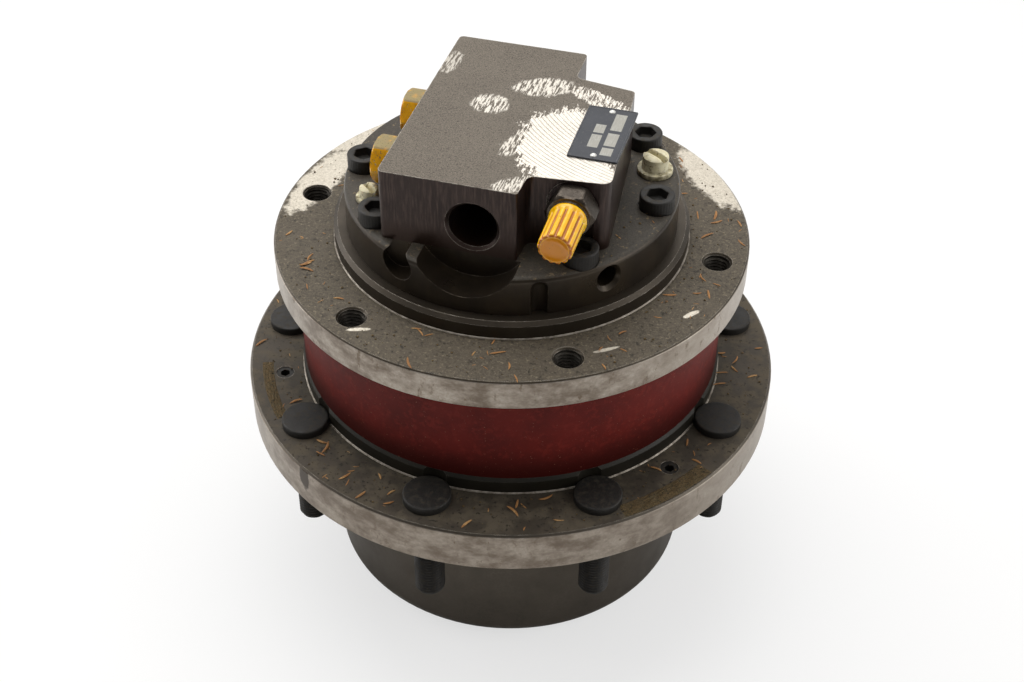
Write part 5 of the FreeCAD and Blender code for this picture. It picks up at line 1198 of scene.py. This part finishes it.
class DRIVE_OT_dirt(bpy.types.Operator):
    """Wood slivers, grit and caked soil lying on the flanges and the cover"""
    bl_idname = "drive.dirt"
    bl_label = "Dirt"

    def execute(self, context):
        sizes = context.scene.drive_sizes
        random = np.random.default_rng(SEED)

        def scatter(count, inner, outer, level, circle_radius, first, number, clear):
            """Places on a ring-shaped face, away from the fittings that stand on or sink into it."""
            angle = random.uniform(0, 2 * math.pi, 4 * count)
            radius = random.uniform(inner, outer, 4 * count)
            points = np.stack([radius * np.sin(angle), -radius * np.cos(angle),
                               np.full(4 * count, level)], axis=-1)
            turns = np.radians(first + 360.0 / number * np.arange(number))
            fittings = np.stack([circle_radius * np.sin(turns), -circle_radius * np.cos(turns)], axis=-1)
            gaps = np.linalg.norm(points[:, None, :2] - fittings[None], axis=-1).min(axis=1)
            return points[gaps > clear][:count]

        def slivers(centres, longest):
            count = len(centres)
            lengths = longest * random.uniform(0.18, 1.0, count) ** 1.8 + 1.2 * MM
            widths = np.clip(lengths * random.uniform(0.1, 0.22, count), 0.35 * MM, 1.4 * MM)
            return sliver_parts(centres, lengths, widths, random.uniform(0, 2 * math.pi, count),
                                random.uniform(0.0, 0.12, count), random.uniform(-0.25, 0.25, count))

        def crumbs(centres, largest):
            count = len(centres)
            return crumb_parts(centres, largest * (0.25 + 0.75 * random.uniform(0, 1, count) ** 3),
                               random.uniform(0, 2 * math.pi, count))

        frame_ring = (PILOT_RADIUS + 2 * MM, FRAME_RADIUS - 3 * MM, FRAME_FACE, FRAME_HOLE_CIRCLE,
                      FRAME_HOLE_FIRST_ANGLE, FRAME_HOLE_COUNT)
        hub_ring = (STEP_RADIUS + 2 * MM, FLANGE_RADIUS - 4 * MM, FLANGE_TOP, STUD_CIRCLE,
                    STUD_FIRST_ANGLE, STUD_COUNT)
        deck_places = scatter(60, 70 * MM, 83 * MM, DECK, COVER_SCREW_CIRCLE, 0.0, 8, 0.0)
        deck_places = deck_places[deck_places[:, 0] > 63.5 * MM]
        on_frame = np.concatenate([scatter(sizes.chips, *frame_ring, 13 * MM), deck_places[:6]])
        on_hub = scatter(sizes.chips, *hub_ring, 17 * MM)
        make_piece("wood_slivers_on_housing", slivers(on_frame, 8 * MM), finish("split_wood"), "housing")
        make_piece("wood_slivers_on_hub", slivers(on_hub, 8 * MM), finish("split_wood"), "hub")
        grit_frame = np.concatenate([scatter(sizes.crumbs, *frame_ring, 10 * MM), deck_places])
        make_piece("grit_on_housing", crumbs(grit_frame, 1.5 * MM), finish("dry_soil"), "housing")
        make_piece("grit_on_hub", crumbs(scatter(sizes.crumbs, *hub_ring, 14 * MM), 1.5 * MM),
                   finish("dry_soil"), "hub")
        patches = [soil_patch_part(39.5, 62.0, 134.5 * MM, 143.0 * MM, FLANGE_TOP, 1.6 * MM),
                   soil_patch_part(-68.0, -48.0, 132.0 * MM, 138.0 * MM, FLANGE_TOP, 0.7 * MM)]
        make_piece("caked_soil", joined(patches), finish("dry_soil"), "hub", (), 80.0)
        return {"FINISHED"}


class DRIVE_OT_carried_parts(bpy.types.Operator):
    """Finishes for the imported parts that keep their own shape"""
    bl_idname = "drive.carried_parts"
    bl_label = "Finishes of packed parts"

    def execute(self, context):
        by_slot = {"hub_primer": "primed_and_turned_iron", "turned_steel": "turned_housing_iron",
                   "cover_iron": "cast_and_turned_cover_iron", "black_steel": "blackened_steel",
                   "gear_steel": "ground_gear_steel", "bearing_steel": "polished_bearing_steel",
                   "forged_steel": "machined_forging_steel", "bronze": "sintered_bronze",
                   "seal_rubber": "moulded_rubber", "yellow_plastic": "moulded_yellow_plastic",
                   "cream_plastic": "soiled_cream_plastic", "plate_black": "anodised_plate",
                   "rivet_aluminium": "drawn_aluminium"}
        special = {"motor_cover": "milled_port_block_iron"}
        for part in frame["record"]["subparts"]:
            name = part["node"]
            look = finish(special.get(name, by_slot[part["material_slot"]]))
            node = frame["nodes"][name]
            node.data.materials.clear()
            node.data.materials.append(look)
        return {"FINISHED"}


# Machined metals: base and shade, metallic, roughness, grain in mm, and the colour of worn corners
METALS = {
    "bright_turned_iron": ("a79d90", "5f564b", 0.6, 0.4, 5.0, "bdb4a7"),
    "cut_thread_steel": ("4a443b", "2b2721", 0.6, 0.4, 0.8, "8a8276"),
    "machined_adapter_steel": ("5a5249", "413a33", 0.85, 0.27, 1.0, "9c948a"),
    "ground_gear_steel": ("8d8a84", "7a776f", 0.95, 0.32, 0.8, "b5b2ab"),
    "polished_bearing_steel": ("a3a29d", "94938d", 1.0, 0.2, 1.5, "c4c3be"),
    "machined_forging_steel": ("6d6861", "5b564f", 0.85, 0.4, 1.2, "98938a"),
    "sintered_bronze": ("a37a42", "8c6735", 0.85, 0.42, 0.7, "c79f62"),
    "drawn_aluminium": ("e9e8e4", "d6d5cf", 0.55, 0.35, 1.0, "ffffff"),
}
MAKERS = {maker.__name__: maker for maker in (
    primed_and_turned_iron, turned_housing_iron, milled_port_block_iron, cast_and_turned_cover_iron,
    blackened_steel, moulded_yellow_plastic, soiled_yellow_plastic, soiled_cream_plastic,
    anodised_plate, moulded_rubber, split_wood, dry_soil)}


def finish(name):
    """The material of that name, made when it is first asked for."""
    made = bpy.data.materials.get(name)
    return made or (plain_metal(name, *METALS[name]) if name in METALS else MAKERS[name]())


class DRIVE_PT_panel(bpy.types.Panel):
    """Lists what makes up the dressed drive"""
    bl_idname = "DRIVE_PT_panel"
    bl_label = "Track final drive"
    bl_space_type = "VIEW_3D"
    bl_region_type = "UI"
    bl_category = "Final drive"

    def draw(self, context):
        for group in (context.scene.drive_sizes, context.scene.drive_colours):
            for name in type(group).__annotations__:
                self.layout.prop(group, name)
        for operator in OPERATORS:
            self.layout.operator(operator.bl_idname)


OPERATORS = (DRIVE_OT_stage, DRIVE_OT_carried_parts, DRIVE_OT_wheel_studs, DRIVE_OT_frame_threads,
             DRIVE_OT_cover_screws, DRIVE_OT_adapter, DRIVE_OT_side_plugs, DRIVE_OT_drain_plugs,
             DRIVE_OT_nameplate, DRIVE_OT_corner_beads, DRIVE_OT_dirt)
CLASSES = (DriveSizes, DriveColours, DRIVE_PT_panel) + OPERATORS


def register():
    for one in CLASSES:
        bpy.utils.register_class(one)
    bpy.types.Scene.drive_sizes = bpy.props.PointerProperty(type=DriveSizes)
    bpy.types.Scene.drive_colours = bpy.props.PointerProperty(type=DriveColours)


def unregister():
    del bpy.types.Scene.drive_colours
    del bpy.types.Scene.drive_sizes
    for one in reversed(CLASSES):
        bpy.utils.unregister_class(one)


def main():
    register()
    bpy.ops.drive.stage()
    bpy.ops.drive.carried_parts()
    bpy.ops.drive.wheel_studs()
    bpy.ops.drive.frame_threads()
    bpy.ops.drive.cover_screws()
    bpy.ops.drive.adapter()
    bpy.ops.drive.side_plugs()
    bpy.ops.drive.drain_plugs()
    bpy.ops.drive.nameplate()
    bpy.ops.drive.corner_beads()
    bpy.ops.drive.dirt()
    bpy.context.view_layer.update()


if __name__ == "__main__":
    main()
